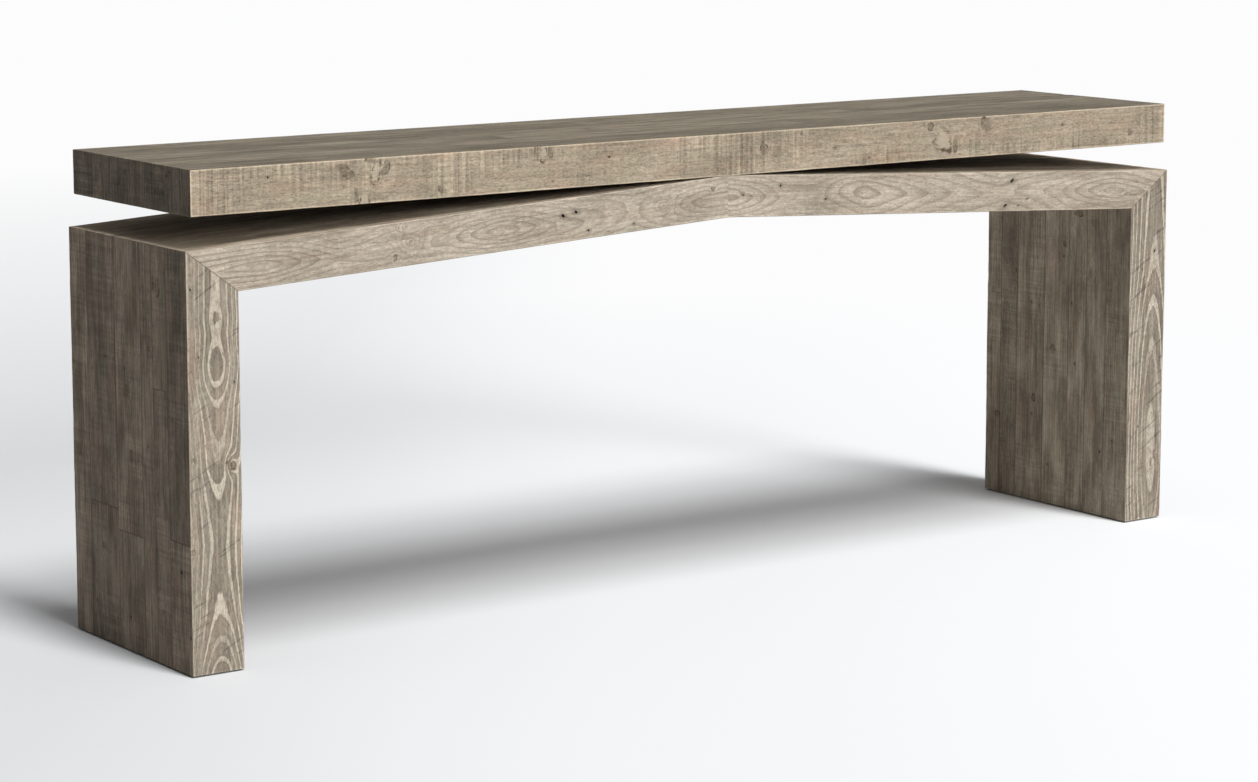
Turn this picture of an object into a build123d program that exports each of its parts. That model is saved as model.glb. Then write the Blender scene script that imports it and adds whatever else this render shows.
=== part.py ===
from build123d import *

import os
from collections import namedtuple
from math import atan, cos

# Console table: a thick slab rests on the ridge of a low, bridge-shaped frame.
# The slab, the two legs and the two rails are hollow beams of pine boards. Their boards are
# mitred along every edge round inner ribs and blocks, so they look solid but can be lifted.
#
# Millimetres. X runs along the length, Y from the front (-) to the back (+), Z up.
# The origin is on the floor, under the middle of the table.

# --- Overall sizes ---------------------------------------------------------------------------

frame_length = 2000.0
slab_length = 1980.0
depth = 382.0
height = 762.0  # floor to the slab's top
slab_thick = 70.0
shoulder_height = 642.0  # floor to the frame's top at its outer corners
leg_thick = 88.0
rail_thick = 70.0  # measured square to the rail's slope
seat_half = 32.0  # the slab rests on a flat this far each side of the ridge

# --- Boards ----------------------------------------------------------------------------------

board = 20.0  # thickness of every board and stave

# Staves share out the depth in these proportions, from the front to the back.
top_shares = (72, 57, 66, 51, 75, 61)
under_shares = (78, 70, 84, 66, 84)
end_shares = (55, 26, 68, 44, 37, 86, 66)
leg_outer_shares = (64, 45, 39, 84, 92, 58)
leg_inner_shares = (61, 51, 47, 65, 74, 45, 39)
rail_shares = (80, 66, 90, 72, 74)

# A row of staves that is made of two lengths is butted end to end at this share of the member's
# length, counted from the left end or from the floor. None is a row in one length.
top_butts = (None, 0.61, 0.33, 0.72, 0.45, None)
left_leg_butts = (0.31, 0.66, None, 0.29, 0.34, None)
right_leg_butts = (0.42, None, 0.63, 0.36, None, 0.55)

# --- Ribs and blocks inside the beams ----------------------------------------------------------

rib = 20.0
slab_ribs_each_side = 4
rail_ribs_each_side = 3
leg_ribs = 2
centre_block_half = 90.0  # the blocks at the ridge reach this far each side of the middle
foot_block_height = 60.0
corner_block_drop = 70.0  # how far a leg's head block reaches below the inner corner
corner_block_run = 70.0  # how far a rail's heel block reaches past the inner corner

# --- Mitred corners ----------------------------------------------------------------------------

spline_thick = 8.0
spline_cover = 3.0  # wood left between the spline and the rail's staves
spline_end_cover = 25.0  # wood left between the spline's end and the front or back board

# --- Bolts that hold the slab down at the ridge ------------------------------------------------

bolt_r = 4.0
bolt_head_r = 6.5
bolt_head_height = 8.0
socket_r = 3.4
socket_depth = 4.0
bolt_x = 20.0
bolt_y = 80.0
bolt_play = 0.5
thread_engaged = 22.0
insert_r = 6.0
insert_length = 25.0
washer_r = 9.0
washer_thick = 1.6
counterbore_r = 11.0
counterbore_depth = 28.0  # from the rail's underside to the washer's seat
plug_thick = 8.0

# --- Glides under the feet ---------------------------------------------------------------------

glide_r = 12.0
glide_thick = 5.0
glide_stand = 2.0  # how far the glides hold the boards off the floor
glide_inset = 41.0  # from the front or back board to a glide's middle
glide_edge = 0.8
glide_play = 0.25
nail_r = 1.2
nail_length = 15.0

# --- Places worked out from the sizes ----------------------------------------------------------

front_y = -depth / 2
back_y = depth / 2
frame_half = frame_length / 2
slab_half = slab_length / 2
leg_inside = frame_half - leg_thick
slab_under = height - slab_thick
rail_slope = (slab_under - shoulder_height) / (frame_half - seat_half)
rail_rise = rail_thick / cos(atan(rail_slope))  # the rail's thickness measured straight up


def rail_top(distance):
    """Height of the rail's sloping top at a distance from the middle of the table."""
    return shoulder_height + rail_slope * (frame_half - distance)


def rail_under(distance):
    """Height of the rail's underside at a distance from the middle of the table."""
    return rail_top(distance) - rail_rise


corner_under = rail_under(leg_inside)

# --- Cutting tools -----------------------------------------------------------------------------

X_AXIS = Vector(1, 0, 0)
Y_AXIS = Vector(0, 1, 0)
Z_AXIS = Vector(0, 0, 1)
touching = 1e-6

# One flat side of a beam: its outward normal, and its distance from the origin along it.
Wall = namedtuple("Wall", "normal offset")


def wall_at(point, normal):
    """The flat side that passes through a point."""
    outward = normal.normalized()
    return Wall(outward, outward.dot(point))


front_wall = wall_at(Vector(0, front_y, 0), -Y_AXIS)
back_wall = wall_at(Vector(0, back_y, 0), Y_AXIS)


def beam(outline):
    """A solid as deep as the table, from the (x, z) corners of its front."""
    corners = [(x, front_y, z) for x, z in outline]
    face = make_face(Polyline(*corners, close=True))
    return extrude(face, amount=depth, dir=Y_AXIS).solid()


def cut(solid, normal, offset):
    """Keep the part of a flat-sided solid where the distance along normal is at least offset."""
    reach = [normal.dot(Vector(*vertex)) for vertex in solid.vertices()]
    if min(reach) >= offset - touching:
        return solid
    plane = Plane(origin=normal * (offset / normal.dot(normal)), z_dir=normal)
    return split(solid, bisect_by=plane, keep=Keep.TOP).solid()


def between(solid, axis, low, high):
    """Keep the part of a flat-sided solid that lies between two places along an axis."""
    return cut(cut(solid, axis, low), -axis, -high)


def panel(body, wall, walls):
    """The board on one side of a beam, mitred to the boards of its other walls."""
    piece = cut(body, wall.normal, wall.offset - board)
    for other in walls:
        if other is not wall:
            piece = cut(piece, wall.normal - other.normal, wall.offset - other.offset)
    return piece


def hollow(body, walls):
    """The room that a beam's boards leave inside it."""
    room = body
    for wall in walls:
        room = cut(room, -wall.normal, board - wall.offset)
    return room


def rip(wide, shares):
    """Divide a panel into staves across the depth of the table."""
    staves = []
    low = front_y
    for share in shares:
        high = low + depth * share / sum(shares)
        staves.append(between(wide, Y_AXIS, low, high))
        low = high
    return staves


def butt(stave, axis, share):
    """Cut a stave into two lengths that meet end to end, or leave it in one."""
    if share is None:
        return [stave]
    places = [axis.dot(Vector(*vertex)) for vertex in stave.vertices()]
    joint = min(places) + share * (max(places) - min(places))
    return [between(stave, axis, min(places), joint), cut(stave, axis, joint)]


def spaced_ribs(room, axis, low, high, count):
    """Ribs that fill a hollow beam's room, evenly spaced between two blocks."""
    pitch = (high - low) / (count + 1)
    middles = [low + pitch * (number + 1) for number in range(count)]
    return [between(room, axis, middle - rib / 2, middle + rib / 2) for middle in middles]


def post(radius, low, high, x, y):
    """An upright cylinder between two heights."""
    upright = (Align.CENTER, Align.CENTER, Align.MIN)
    return Pos(x, y, low) * Cylinder(radius, high - low, align=upright)


# --- Writing the pieces ------------------------------------------------------------------------

os.makedirs("parts", exist_ok=True)


def save(name, pieces):
    """Write one named piece, or one named group of separate pieces."""
    solids = [piece.solid() for piece in pieces]
    shape = solids[0] if len(solids) == 1 else Compound(children=solids)
    shape.label = name
    export_step(shape, f"parts/{name}.step")


# --- Bolts at the ridge ------------------------------------------------------------------------

bolt_places = [(x, y) for x in (-bolt_x, bolt_x) for y in (-bolt_y, bolt_y)]
washer_seat = rail_under(bolt_x) + counterbore_depth
head_seat = washer_seat - washer_thick
bolt_tip = slab_under + thread_engaged


def bored(piece):
    """Drill a piece for the bolts: counterbores from below, then clearance holes, then inserts."""
    for x, y in bolt_places:
        piece = piece - post(counterbore_r, shoulder_height - rail_rise, washer_seat, x, y)
        piece = piece - post(bolt_r + bolt_play, washer_seat, slab_under, x, y)
        piece = piece - post(insert_r, slab_under, slab_under + insert_length, x, y)
    return piece


def bolt(x, y):
    """A socket-head bolt, standing on its head."""
    shank = post(bolt_r, head_seat, bolt_tip, x, y)
    head = post(bolt_head_r, head_seat - bolt_head_height, head_seat, x, y)
    socket = Pos(x, y, head_seat - bolt_head_height) * extrude(
        RegularPolygon(socket_r, 6), amount=socket_depth
    )
    return shank + head - socket


def washer(x, y):
    ring = post(washer_r, head_seat, washer_seat, x, y)
    return ring - post(bolt_r + bolt_play, head_seat, washer_seat, x, y)


def insert(x, y):
    """A threaded insert, flush with the slab's underside."""
    tube = post(insert_r, slab_under, slab_under + insert_length, x, y)
    return tube - post(bolt_r, slab_under, slab_under + insert_length, x, y)


save("slab_bolts", [bolt(x, y) for x, y in bolt_places])
save("slab_washers", [washer(x, y) for x, y in bolt_places])
save("slab_inserts", [insert(x, y) for x, y in bolt_places])

# --- Slab --------------------------------------------------------------------------------------

slab_body = beam(
    [
        (-slab_half, slab_under),
        (slab_half, slab_under),
        (slab_half, height),
        (-slab_half, height),
    ]
)
slab_top_wall = wall_at(Vector(0, 0, height), Z_AXIS)
slab_under_wall = wall_at(Vector(0, 0, slab_under), -Z_AXIS)
slab_left_wall = wall_at(Vector(-slab_half, 0, 0), -X_AXIS)
slab_right_wall = wall_at(Vector(slab_half, 0, 0), X_AXIS)
slab_walls = (
    slab_top_wall,
    slab_under_wall,
    slab_left_wall,
    slab_right_wall,
    front_wall,
    back_wall,
)
slab_room = hollow(slab_body, slab_walls)
slab_room_half = slab_half - board

top_staves = rip(panel(slab_body, slab_top_wall, slab_walls), top_shares)
for number, (stave, share) in enumerate(zip(top_staves, top_butts), start=1):
    save(f"slab_top_stave_{number}", butt(stave, X_AXIS, share))

under_staves = rip(panel(slab_body, slab_under_wall, slab_walls), under_shares)
save("slab_under_staves", [bored(stave) for stave in under_staves])
save("slab_front_board", [panel(slab_body, front_wall, slab_walls)])
save("slab_back_board", [panel(slab_body, back_wall, slab_walls)])
save("slab_left_end_staves", rip(panel(slab_body, slab_left_wall, slab_walls), end_shares))
save("slab_right_end_staves", rip(panel(slab_body, slab_right_wall, slab_walls), end_shares))

centre_block = between(slab_room, X_AXIS, -centre_block_half, centre_block_half)
save("slab_centre_block", [bored(centre_block)])
save(
    "slab_ribs",
    spaced_ribs(slab_room, X_AXIS, -slab_room_half, -centre_block_half, slab_ribs_each_side)
    + spaced_ribs(slab_room, X_AXIS, centre_block_half, slab_room_half, slab_ribs_each_side),
)

# --- Legs, rails and the mitred corners between them --------------------------------------------

ridge_halves = []


def mitre_spline(outward):
    """The tongue that crosses a corner's mitre, square to it, halfway along."""
    drop = shoulder_height - corner_under
    along = Vector(-outward * leg_thick, 0, -drop).normalized()
    across = along.cross(Y_AXIS)
    middle = Vector(outward * (frame_half - leg_thick / 2), 0, shoulder_height - drop / 2)

    # The tongue is as wide as the rail's room lets it be, once its corners have their cover.
    rail_up = Vector(outward * rail_slope, 0, 1).normalized()
    room_half = rail_thick / 2 - board - spline_cover
    reach = room_half - spline_thick / 2 * abs(along.dot(rail_up))
    width = 2 * reach / abs(across.dot(rail_up))
    length = depth - 2 * (board + spline_end_cover)
    return Plane(origin=middle, x_dir=along, z_dir=across) * Box(spline_thick, length, width)


def build_half(side, outward, leg_butts):
    """One leg and one rail. outward is -1 for the left half of the table and 1 for the right."""
    outer = outward * frame_half
    inner = outward * leg_inside
    spline = mitre_spline(outward)

    # Leg.
    leg_body = beam(
        [
            (outer, glide_stand),
            (inner, glide_stand),
            (inner, corner_under),
            (outer, shoulder_height),
        ]
    )
    outer_wall = wall_at(Vector(outer, 0, 0), X_AXIS * outward)
    inner_wall = wall_at(Vector(inner, 0, 0), X_AXIS * -outward)
    leg_walls = (outer_wall, inner_wall, front_wall, back_wall)
    leg_room = hollow(leg_body, leg_walls)

    outer_staves = rip(panel(leg_body, outer_wall, leg_walls), leg_outer_shares)
    for number, (stave, share) in enumerate(zip(outer_staves, leg_butts), start=1):
        save(f"{side}_leg_outer_stave_{number}", butt(stave, Z_AXIS, share))
    inner_staves = rip(panel(leg_body, inner_wall, leg_walls), leg_inner_shares)
    save(f"{side}_leg_inner_staves", inner_staves)
    save(f"{side}_leg_front_board", [panel(leg_body, front_wall, leg_walls)])
    save(f"{side}_leg_back_board", [panel(leg_body, back_wall, leg_walls)])

    foot_top = glide_stand + foot_block_height
    head_low = corner_under - corner_block_drop
    glide_x = outward * (frame_half - leg_thick / 2)
    glide_y = depth / 2 - board - glide_inset
    foot_block = between(leg_room, Z_AXIS, glide_stand, foot_top)
    glides = []
    for y in (-glide_y, glide_y):
        disc = chamfer(
            Cylinder(glide_r, glide_thick, align=(Align.CENTER, Align.CENTER, Align.MIN))
            .edges()
            .group_by(Axis.Z)[0],
            glide_edge,
        )
        nail_tip = glide_thick + nail_length
        glides.append(Pos(glide_x, y, 0) * disc + post(nail_r, glide_thick, nail_tip, glide_x, y))
        foot_block -= post(glide_r + glide_play, glide_stand, glide_thick, glide_x, y)
        foot_block -= post(nail_r, glide_thick, nail_tip, glide_x, y)
    save(f"{side}_leg_foot_block", [foot_block])
    save(f"{side}_leg_glides", glides)
    save(f"{side}_leg_ribs", spaced_ribs(leg_room, Z_AXIS, foot_top, head_low, leg_ribs))
    save(f"{side}_leg_head_block", [cut(leg_room, Z_AXIS, head_low) - spline])

    # Rail.
    rail_body = beam(
        [
            (outer, shoulder_height),
            (outward * seat_half, slab_under),
            (0, slab_under),
            (0, rail_under(0)),
            (inner, corner_under),
        ]
    )
    upward = Vector(outward * rail_slope, 0, 1)
    rail_top_wall = wall_at(Vector(outer, 0, shoulder_height), upward)
    rail_under_wall = wall_at(Vector(inner, 0, corner_under), -upward)
    rail_walls = (rail_top_wall, rail_under_wall, front_wall, back_wall)
    rail_room = hollow(rail_body, rail_walls)

    rail_top_staves = rip(panel(rail_body, rail_top_wall, rail_walls), rail_shares)
    rail_under_staves = rip(panel(rail_body, rail_under_wall, rail_walls), rail_shares)
    save(f"{side}_rail_top_staves", [bored(stave) for stave in rail_top_staves])
    save(f"{side}_rail_under_staves", [bored(stave) for stave in rail_under_staves])
    save(f"{side}_rail_front_board", [panel(rail_body, front_wall, rail_walls)])
    save(f"{side}_rail_back_board", [panel(rail_body, back_wall, rail_walls)])

    # Distances from the middle of the table, outwards along the rail.
    outwards = X_AXIS * outward
    heel_from = leg_inside - corner_block_run
    ribs = spaced_ribs(rail_room, outwards, centre_block_half, heel_from, rail_ribs_each_side)
    save(f"{side}_rail_ribs", ribs)
    save(f"{side}_rail_heel_block", [cut(rail_room, outwards, heel_from) - spline])
    save(f"{side}_corner_spline", [spline])

    ridge_halves.append(between(rail_room, outwards, 0, centre_block_half))
    return rail_body


left_rail = build_half("left", -1, left_leg_butts)
right_rail = build_half("right", 1, right_leg_butts)

# --- Ridge -------------------------------------------------------------------------------------

save("ridge_tie_block", [bored(ridge_halves[0] + ridge_halves[1])])

plug_low = rail_under(0) - board
plugs = []
for x, y in bolt_places:
    rail_half = left_rail if x < 0 else right_rail
    plug_top = rail_under(bolt_x) + plug_thick
    plugs.append(post(counterbore_r, plug_low, plug_top, x, y) & rail_half)
save("bolt_plugs", plugs)
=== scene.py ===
# %% [markdown]
# # A board-built console table, weathered and worn
#
# This lesson dresses a finished CAD model of a long console table. On the real one a thick slab
# rests on the ridge of a low, bridge-shaped frame. Slab, legs and rails are hollow beams of
# reclaimed pine boards, mitred on every edge. The CAD model fixes each board's place and size.
# Blender adds what a planer and a saw leave behind: worn arrises, seams, saw marks, nail holes,
# cracks, knots, and the grey wash.
#
# The plan: read every board's corners from the CAD model, saw a blank mesh to those corners,
# wear it down with Geometry Nodes, and give it wood that grows from a simple model of a log.

import math

import bpy
import numpy as np
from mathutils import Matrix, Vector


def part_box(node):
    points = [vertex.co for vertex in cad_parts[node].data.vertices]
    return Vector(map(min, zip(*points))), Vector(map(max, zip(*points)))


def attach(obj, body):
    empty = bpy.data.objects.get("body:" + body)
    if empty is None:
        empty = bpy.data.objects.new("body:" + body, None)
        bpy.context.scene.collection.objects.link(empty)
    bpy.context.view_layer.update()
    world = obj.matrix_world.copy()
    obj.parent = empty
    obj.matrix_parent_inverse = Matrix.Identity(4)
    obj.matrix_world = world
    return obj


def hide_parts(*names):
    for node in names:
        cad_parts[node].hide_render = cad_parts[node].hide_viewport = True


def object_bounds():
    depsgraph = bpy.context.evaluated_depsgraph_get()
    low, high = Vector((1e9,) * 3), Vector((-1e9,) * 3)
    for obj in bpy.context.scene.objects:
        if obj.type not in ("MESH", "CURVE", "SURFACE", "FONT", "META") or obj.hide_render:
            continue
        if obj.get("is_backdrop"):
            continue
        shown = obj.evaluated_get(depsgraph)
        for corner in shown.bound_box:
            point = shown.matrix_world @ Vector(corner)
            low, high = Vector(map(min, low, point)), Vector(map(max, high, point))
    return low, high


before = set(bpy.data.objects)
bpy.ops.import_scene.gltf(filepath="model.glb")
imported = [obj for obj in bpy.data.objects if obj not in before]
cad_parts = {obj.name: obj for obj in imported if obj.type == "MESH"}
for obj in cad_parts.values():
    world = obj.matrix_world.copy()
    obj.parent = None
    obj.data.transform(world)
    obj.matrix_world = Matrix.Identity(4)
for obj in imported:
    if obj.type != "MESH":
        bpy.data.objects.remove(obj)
cad_box = [list(corner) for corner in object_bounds()]

MM = 0.001
table_low, table_high = (np.array(corner) for corner in cad_box)
half_length = table_high[0]
print("table", np.round((table_high - table_low) / MM), "mm")

# %% [markdown]
# ## Where each board's corners are
#
# A mitred board has eight corners: four on the face that shows and four on the face that is glued
# inwards. They could be typed in again, but then the looks could drift from the design. So they are
# picked out of the CAD piece: split its points into the outer and the inner face, and take the
# point that lies furthest towards each of the four corners.

# %% Read corners and seams from the CAD pieces
RIGHT = np.array((1.0, 0.0, 0.0))
BACK = np.array((0.0, 1.0, 0.0))
UP = np.array((0.0, 0.0, 1.0))
NEAR = 0.02 * MM


def points_of(node):
    return np.array([vertex.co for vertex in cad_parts[node].data.vertices])


def distinct(values):
    """Sorted values, with those that are closer than a hair taken as one."""
    values = np.sort(values)
    return values[np.concatenate(([True], np.diff(values) > NEAR))]


def corners_of(node, along, across, outward):
    """corners[i, j, k]: i from the start to the end, j from side to side, k outer then inner."""
    points = points_of(node)
    depth = points @ outward
    outer = depth > (depth.max() + depth.min()) / 2
    corners = np.zeros((2, 2, 2, 3))
    for k, face in enumerate((points[outer], points[~outer])):
        lengthways, sideways = face @ along, face @ across
        lengthways = (lengthways - lengthways.min()) / np.ptp(lengthways)
        sideways = (sideways - sideways.min()) / np.ptp(sideways)
        for i, end in enumerate((-1, 1)):
            for j, side in enumerate((-1, 1)):
                corners[i, j, k] = face[np.argmax(end * lengthways + side * sideways)]
    return corners


slab_low, slab_high = (np.array(corner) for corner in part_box("slab_front_board"))
leg_low, leg_high = (np.array(corner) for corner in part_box("left_leg_front_board"))
slab_under = slab_low[2]
shoulder = leg_high[2]
leg_inside = -leg_high[0]
foot = leg_low[2]
rail_points = points_of("left_rail_front_board")
seat_half = -rail_points[np.abs(rail_points[:, 2] - slab_under) < NEAR][:, 0].min()
rail_slope = (slab_under - shoulder) / (half_length - seat_half)
ridge = shoulder + rail_slope * half_length
corner_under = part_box("left_rail_under_staves")[0][2]
print("rails rise", round(math.degrees(math.atan(rail_slope)), 2), "degrees to the ridge")

# %% [markdown]
# ## Sawing a blank
#
# A board could be one stretched cube with a bevel, but wear, nail holes and cracks need points to
# move. So the blank is a grid over the outer face, wrapped down the four edges and closed by one
# flat face inside, where nobody looks. The grid's lines crowd together near the edges, where the
# rounding is. Every point is kept as a place on the board, in metres along, across and down into
# it, because grain, seams and stains are all laid out in those terms.

# %% Grid lines across a face
EASE = 0.4 * MM  # how round a board's own edge is
EDGE_LINES = (1.2 * MM, 2.3 * MM, 4 * MM)  # extra lines beside the edge, for the wear
QUARTER_ARC = math.pi / 2


def grid_lines(size, cell, through):
    """Places of the lines across a face, and how deep each lies where the edge is eased."""
    arc = QUARTER_ARC * np.array((0.5, 0.25))
    near = np.concatenate((EASE * (1 - np.sin(arc)), (EASE, *EDGE_LINES)))
    dip = np.concatenate((EASE * (1 - np.cos(arc)), np.zeros(4)))
    stops = [near[-1], *sorted(through), size - near[-1]]
    middle = []
    for low, high in zip(stops, stops[1:]):
        count = max(1, round((high - low) / cell))
        middle.extend(np.linspace(low, high, count + 1)[1:])
    middle = np.array(middle[:-1])
    places = np.concatenate((near, middle, size - near[::-1]))
    depths = np.concatenate((dip, np.zeros(len(middle)), dip[::-1]))
    return places, depths


# %% The blank
class Blank:
    """A sawn board: its points as (along, across, down), its faces, and marks on its points."""

    def __init__(self, corners, face, cells, bores=()):
        self.corners = corners
        self.along, self.across, self.outward = face
        edges = corners[1, :, 0] - corners[0, :, 0]
        self.length = np.linalg.norm(edges, axis=1).max()
        self.width = (corners[0, 1, 0] - corners[0, 0, 0]) @ self.across
        self.thick = (corners[0, 0, 0] - corners[0, 0, 1]) @ self.outward
        bored = [self.find(middle) for middle in bores]
        self.a_lines, a_dip = grid_lines(self.length, cells[0], {a for a, b, c in bored})
        self.b_lines, b_dip = grid_lines(self.width, cells[1], {b for a, b, c in bored})
        rows, columns = len(self.a_lines), len(self.b_lines)
        a, b = np.meshgrid(self.a_lines, self.b_lines, indexing="ij")
        c = np.maximum(a_dip[:, None], b_dip[None, :])
        self.places = [np.stack((a, b, c), -1).reshape(-1, 3)]
        self.total = rows * columns
        self.below = np.arange(self.total).reshape(rows, columns)  # used by cells before a line
        self.above = self.below.copy()  # used by cells after a line
        self.open_cells = np.ones((rows - 1, columns - 1), bool)
        self.extra_faces = []
        self.stains = []  # (along, across, reach, strength)
        self.dark = []  # points inside holes and cracks
        self.kept = np.ones(self.total, bool)
        self.wrap_edges(rows, columns)

    def add(self, places, inside=False):
        """New points, and their numbers."""
        places = np.atleast_2d(places)
        numbers = np.arange(self.total, self.total + len(places))
        self.places.append(places)
        self.total += len(places)
        if inside:
            self.dark.extend(numbers)
        return numbers

    def wrap_edges(self, rows, columns):
        grid = self.below
        rim = np.concatenate(
            (grid[:-1, 0], grid[-1, :-1], grid[:0:-1, -1], grid[0, :0:-1])
        )
        face = self.places[0][rim]
        low = np.array((self.a_lines[0], self.b_lines[0]))
        high = np.array((self.a_lines[-1], self.b_lines[-1]))
        far = np.array((self.length, self.width))
        arc = QUARTER_ARC * 0.75
        levels = (
            (EASE * (1 - math.sin(arc)), EASE * (1 - math.cos(arc))),
            (0.0, EASE),
            (0.0, EDGE_LINES[1]),
            (0.0, self.thick),
        )
        above = rim
        for inset, depth in levels:
            ring = face.copy()
            for side in (0, 1):
                ring[face[:, side] == low[side], side] = inset
                ring[face[:, side] == high[side], side] = far[side] - inset
            ring[:, 2] = depth
            here = self.add(ring)
            for k in range(len(rim)):
                after = (k + 1) % len(rim)
                self.extra_faces.append((above[k], here[k], here[after], above[after]))
            above = here
        self.extra_faces.append(tuple(above[::-1]))

    def faces(self):
        rows, columns = np.nonzero(self.open_cells)
        cells = np.stack(
            (
                self.above[rows, columns],
                self.above[rows + 1, columns],
                self.below[rows + 1, columns + 1],
                self.below[rows, columns + 1],
            ),
            -1,
        )
        return [tuple(cell) for cell in cells] + self.extra_faces

    def in_space(self, places):
        """Board places to points in the room, by blending the eight corners."""
        a = (places[:, 0] / self.length)[:, None]
        b = (places[:, 1] / self.width)[:, None]
        c = (places[:, 2] / self.thick)[:, None]
        point = 0
        for i, at in enumerate((1 - a, a)):
            for j, bt in enumerate((1 - b, b)):
                for k, ct in enumerate((1 - c, c)):
                    point = point + at * bt * ct * self.corners[i, j, k]
        return point

    def find(self, point):
        """The place on the face of a point in the room."""
        place = np.array((self.length / 2, self.width / 2, 0.0))
        for _ in range(8):
            miss = point - self.in_space(place[None])[0]
            place[0] += miss @ self.along
            place[1] += miss @ self.across
        return tuple(place)


print("an eased seam is", EASE / MM, "mm wide on each side")

# %% [markdown]
# ## Nail holes and cracks
#
# Both are cut into the grid itself, so that they are real hollows with walls. A hole takes out a
# square patch of cells and ties its rim to a round wall. A crack doubles a grid line, parts the two
# copies and joins them along a deeper line. A cut that would meet another one, or the edge, isn't
# made, so the board stays closed.

# %% Cut a round hole
HOLE_WALL = ((1.12, 0.0), (0.97, 0.12), (0.9, 1.0))  # (share of the radius, share of the depth)
HALO_STRENGTH = 0.6


def cut_hole(blank, middle, radius, depth, halo=0.0):
    """A round hole with a dark bottom, and a stain of that reach round it."""
    along, across = blank.find(middle)[:2]
    i = int(np.argmin(np.abs(blank.a_lines - along)))
    j = int(np.argmin(np.abs(blank.b_lines - across)))
    cell_a = blank.a_lines[i + 1] - blank.a_lines[i]
    cell_b = blank.b_lines[j + 1] - blank.b_lines[j]
    m = max(1, math.ceil(1.35 * radius / min(cell_a, cell_b)))
    rows, columns = blank.open_cells.shape
    if i - m < 1 or j - m < 1 or i + m > rows - 1 or j + m > columns - 1:
        return False
    patch = blank.open_cells[i - m : i + m, j - m : j + m]
    doubled = blank.below[i - m : i + m + 1, j - m : j + m + 1]
    if not patch.all() or (doubled != blank.above[i - m : i + m + 1, j - m : j + m + 1]).any():
        return False
    patch[:] = False
    blank.kept[blank.below[i - m + 1 : i + m, j - m + 1 : j + m].ravel()] = False
    edge = [(k, -m) for k in range(-m, m)] + [(m, k) for k in range(-m, m)]
    edge += [(-k, m) for k in range(-m, m)] + [(-m, -k) for k in range(-m, m)]
    rim = np.array([blank.below[i + p, j + q] for p, q in edge])
    centre = np.array((blank.a_lines[i], blank.b_lines[j], 0.0))
    rim_places = np.concatenate(blank.places)[rim] - centre
    turn = np.arctan2(rim_places[:, 1], rim_places[:, 0])
    circle = np.stack((np.cos(turn), np.sin(turn), np.zeros(len(turn))), -1)
    above = rim
    for share, down in HOLE_WALL:
        ring = centre + circle * radius * share
        ring[:, 2] = depth * down
        here = blank.add(ring, inside=down > 0)
        for k in range(len(rim)):
            after = (k + 1) % len(rim)
            blank.extra_faces.append((above[k], above[after], here[after], here[k]))
        above = here
    blank.extra_faces.append(tuple(above))
    if halo:
        blank.stains.append((blank.a_lines[i], blank.b_lines[j], halo, HALO_STRENGTH))
    return True


# %% Cut a crack
CRACK_MARGIN = 4  # grid lines that a crack keeps clear of a board's ends


def cut_crack(blank, middle, length, width, depth):
    """A check along the grain, widest in its middle."""
    along, across = blank.find(middle)[:2]
    i0 = int(np.argmin(np.abs(blank.a_lines - along + length / 2)))
    i1 = int(np.argmin(np.abs(blank.a_lines - along - length / 2)))
    j = int(np.argmin(np.abs(blank.b_lines - across)))
    rows, columns = blank.open_cells.shape
    i0, i1 = max(i0, CRACK_MARGIN), min(i1, rows - CRACK_MARGIN)
    if i1 - i0 < CRACK_MARGIN or not CRACK_MARGIN < j < columns - CRACK_MARGIN:
        return False
    cells = blank.open_cells[i0 - 1 : i1 + 1, j - 1 : j + 1]
    if not cells.all() or (blank.below != blank.above)[i0 : i1 + 1, j].any():
        return False
    inner = np.arange(i0 + 1, i1)
    swell = np.sin(np.linspace(0, math.pi, len(inner) + 2)[1:-1]) ** 0.7
    swell *= 0.75 + 0.25 * np.sin(inner * 1.7)
    middle = np.stack(
        (blank.a_lines[inner], np.full(len(inner), blank.b_lines[j]), np.zeros(len(inner))), -1
    )
    part = np.zeros_like(middle)
    part[:, 1] = swell * width / 2
    sink = np.zeros_like(middle)
    sink[:, 2] = swell * depth
    upper = blank.add(middle + part)
    lower = blank.add(middle - part)
    bottom = blank.add(middle + sink, inside=True)
    blank.kept[blank.below[inner, j]] = False
    blank.above[inner, j] = upper
    blank.below[inner, j] = lower
    ends = blank.above[i0, j], blank.above[i1, j]
    upper = np.concatenate(([ends[0]], upper, [ends[1]]))
    lower = np.concatenate(([ends[0]], lower, [ends[1]]))
    bottom = np.concatenate(([ends[0]], bottom, [ends[1]]))
    for k in range(len(upper) - 1):
        for near_wall, far_wall in ((lower, bottom), (bottom, upper)):
            corners = (near_wall[k], near_wall[k + 1], far_wall[k + 1], far_wall[k])
            blank.extra_faces.append(tuple(dict.fromkeys(corners)))
    return True


print("cuts that a blank can take:", cut_hole.__name__, "and", cut_crack.__name__)

# %% [markdown]
# ## Wearing the arrises
#
# Where two boards meet at a mitre, both are worn round together. A bevel on each board alone would
# leave a groove between them. So the wear belongs to the beam: a point that is nearer than the wear
# radius to two of the beam's flat sides is pulled onto a circle between them. Both boards follow
# the same circle, so the mitre stays shut. The radius wanders along the arris, with a dent here
# and there, because hands, boxes and brooms don't wear wood evenly.

# %% Slow unevenness, and the wear it gives
def slow_waves(points, reach, seed, waves=7):
    """A smooth, repeatable unevenness, mostly between -1 and 1."""
    draw = np.random.default_rng(seed)
    total = np.zeros(len(points))
    for _ in range(waves):
        way = draw.normal(size=3)
        turns = points @ (way / np.linalg.norm(way)) / (reach * draw.uniform(0.6, 1.8))
        total += np.sin(2 * math.pi * (turns + draw.uniform()))
    return total / math.sqrt(waves)


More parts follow.
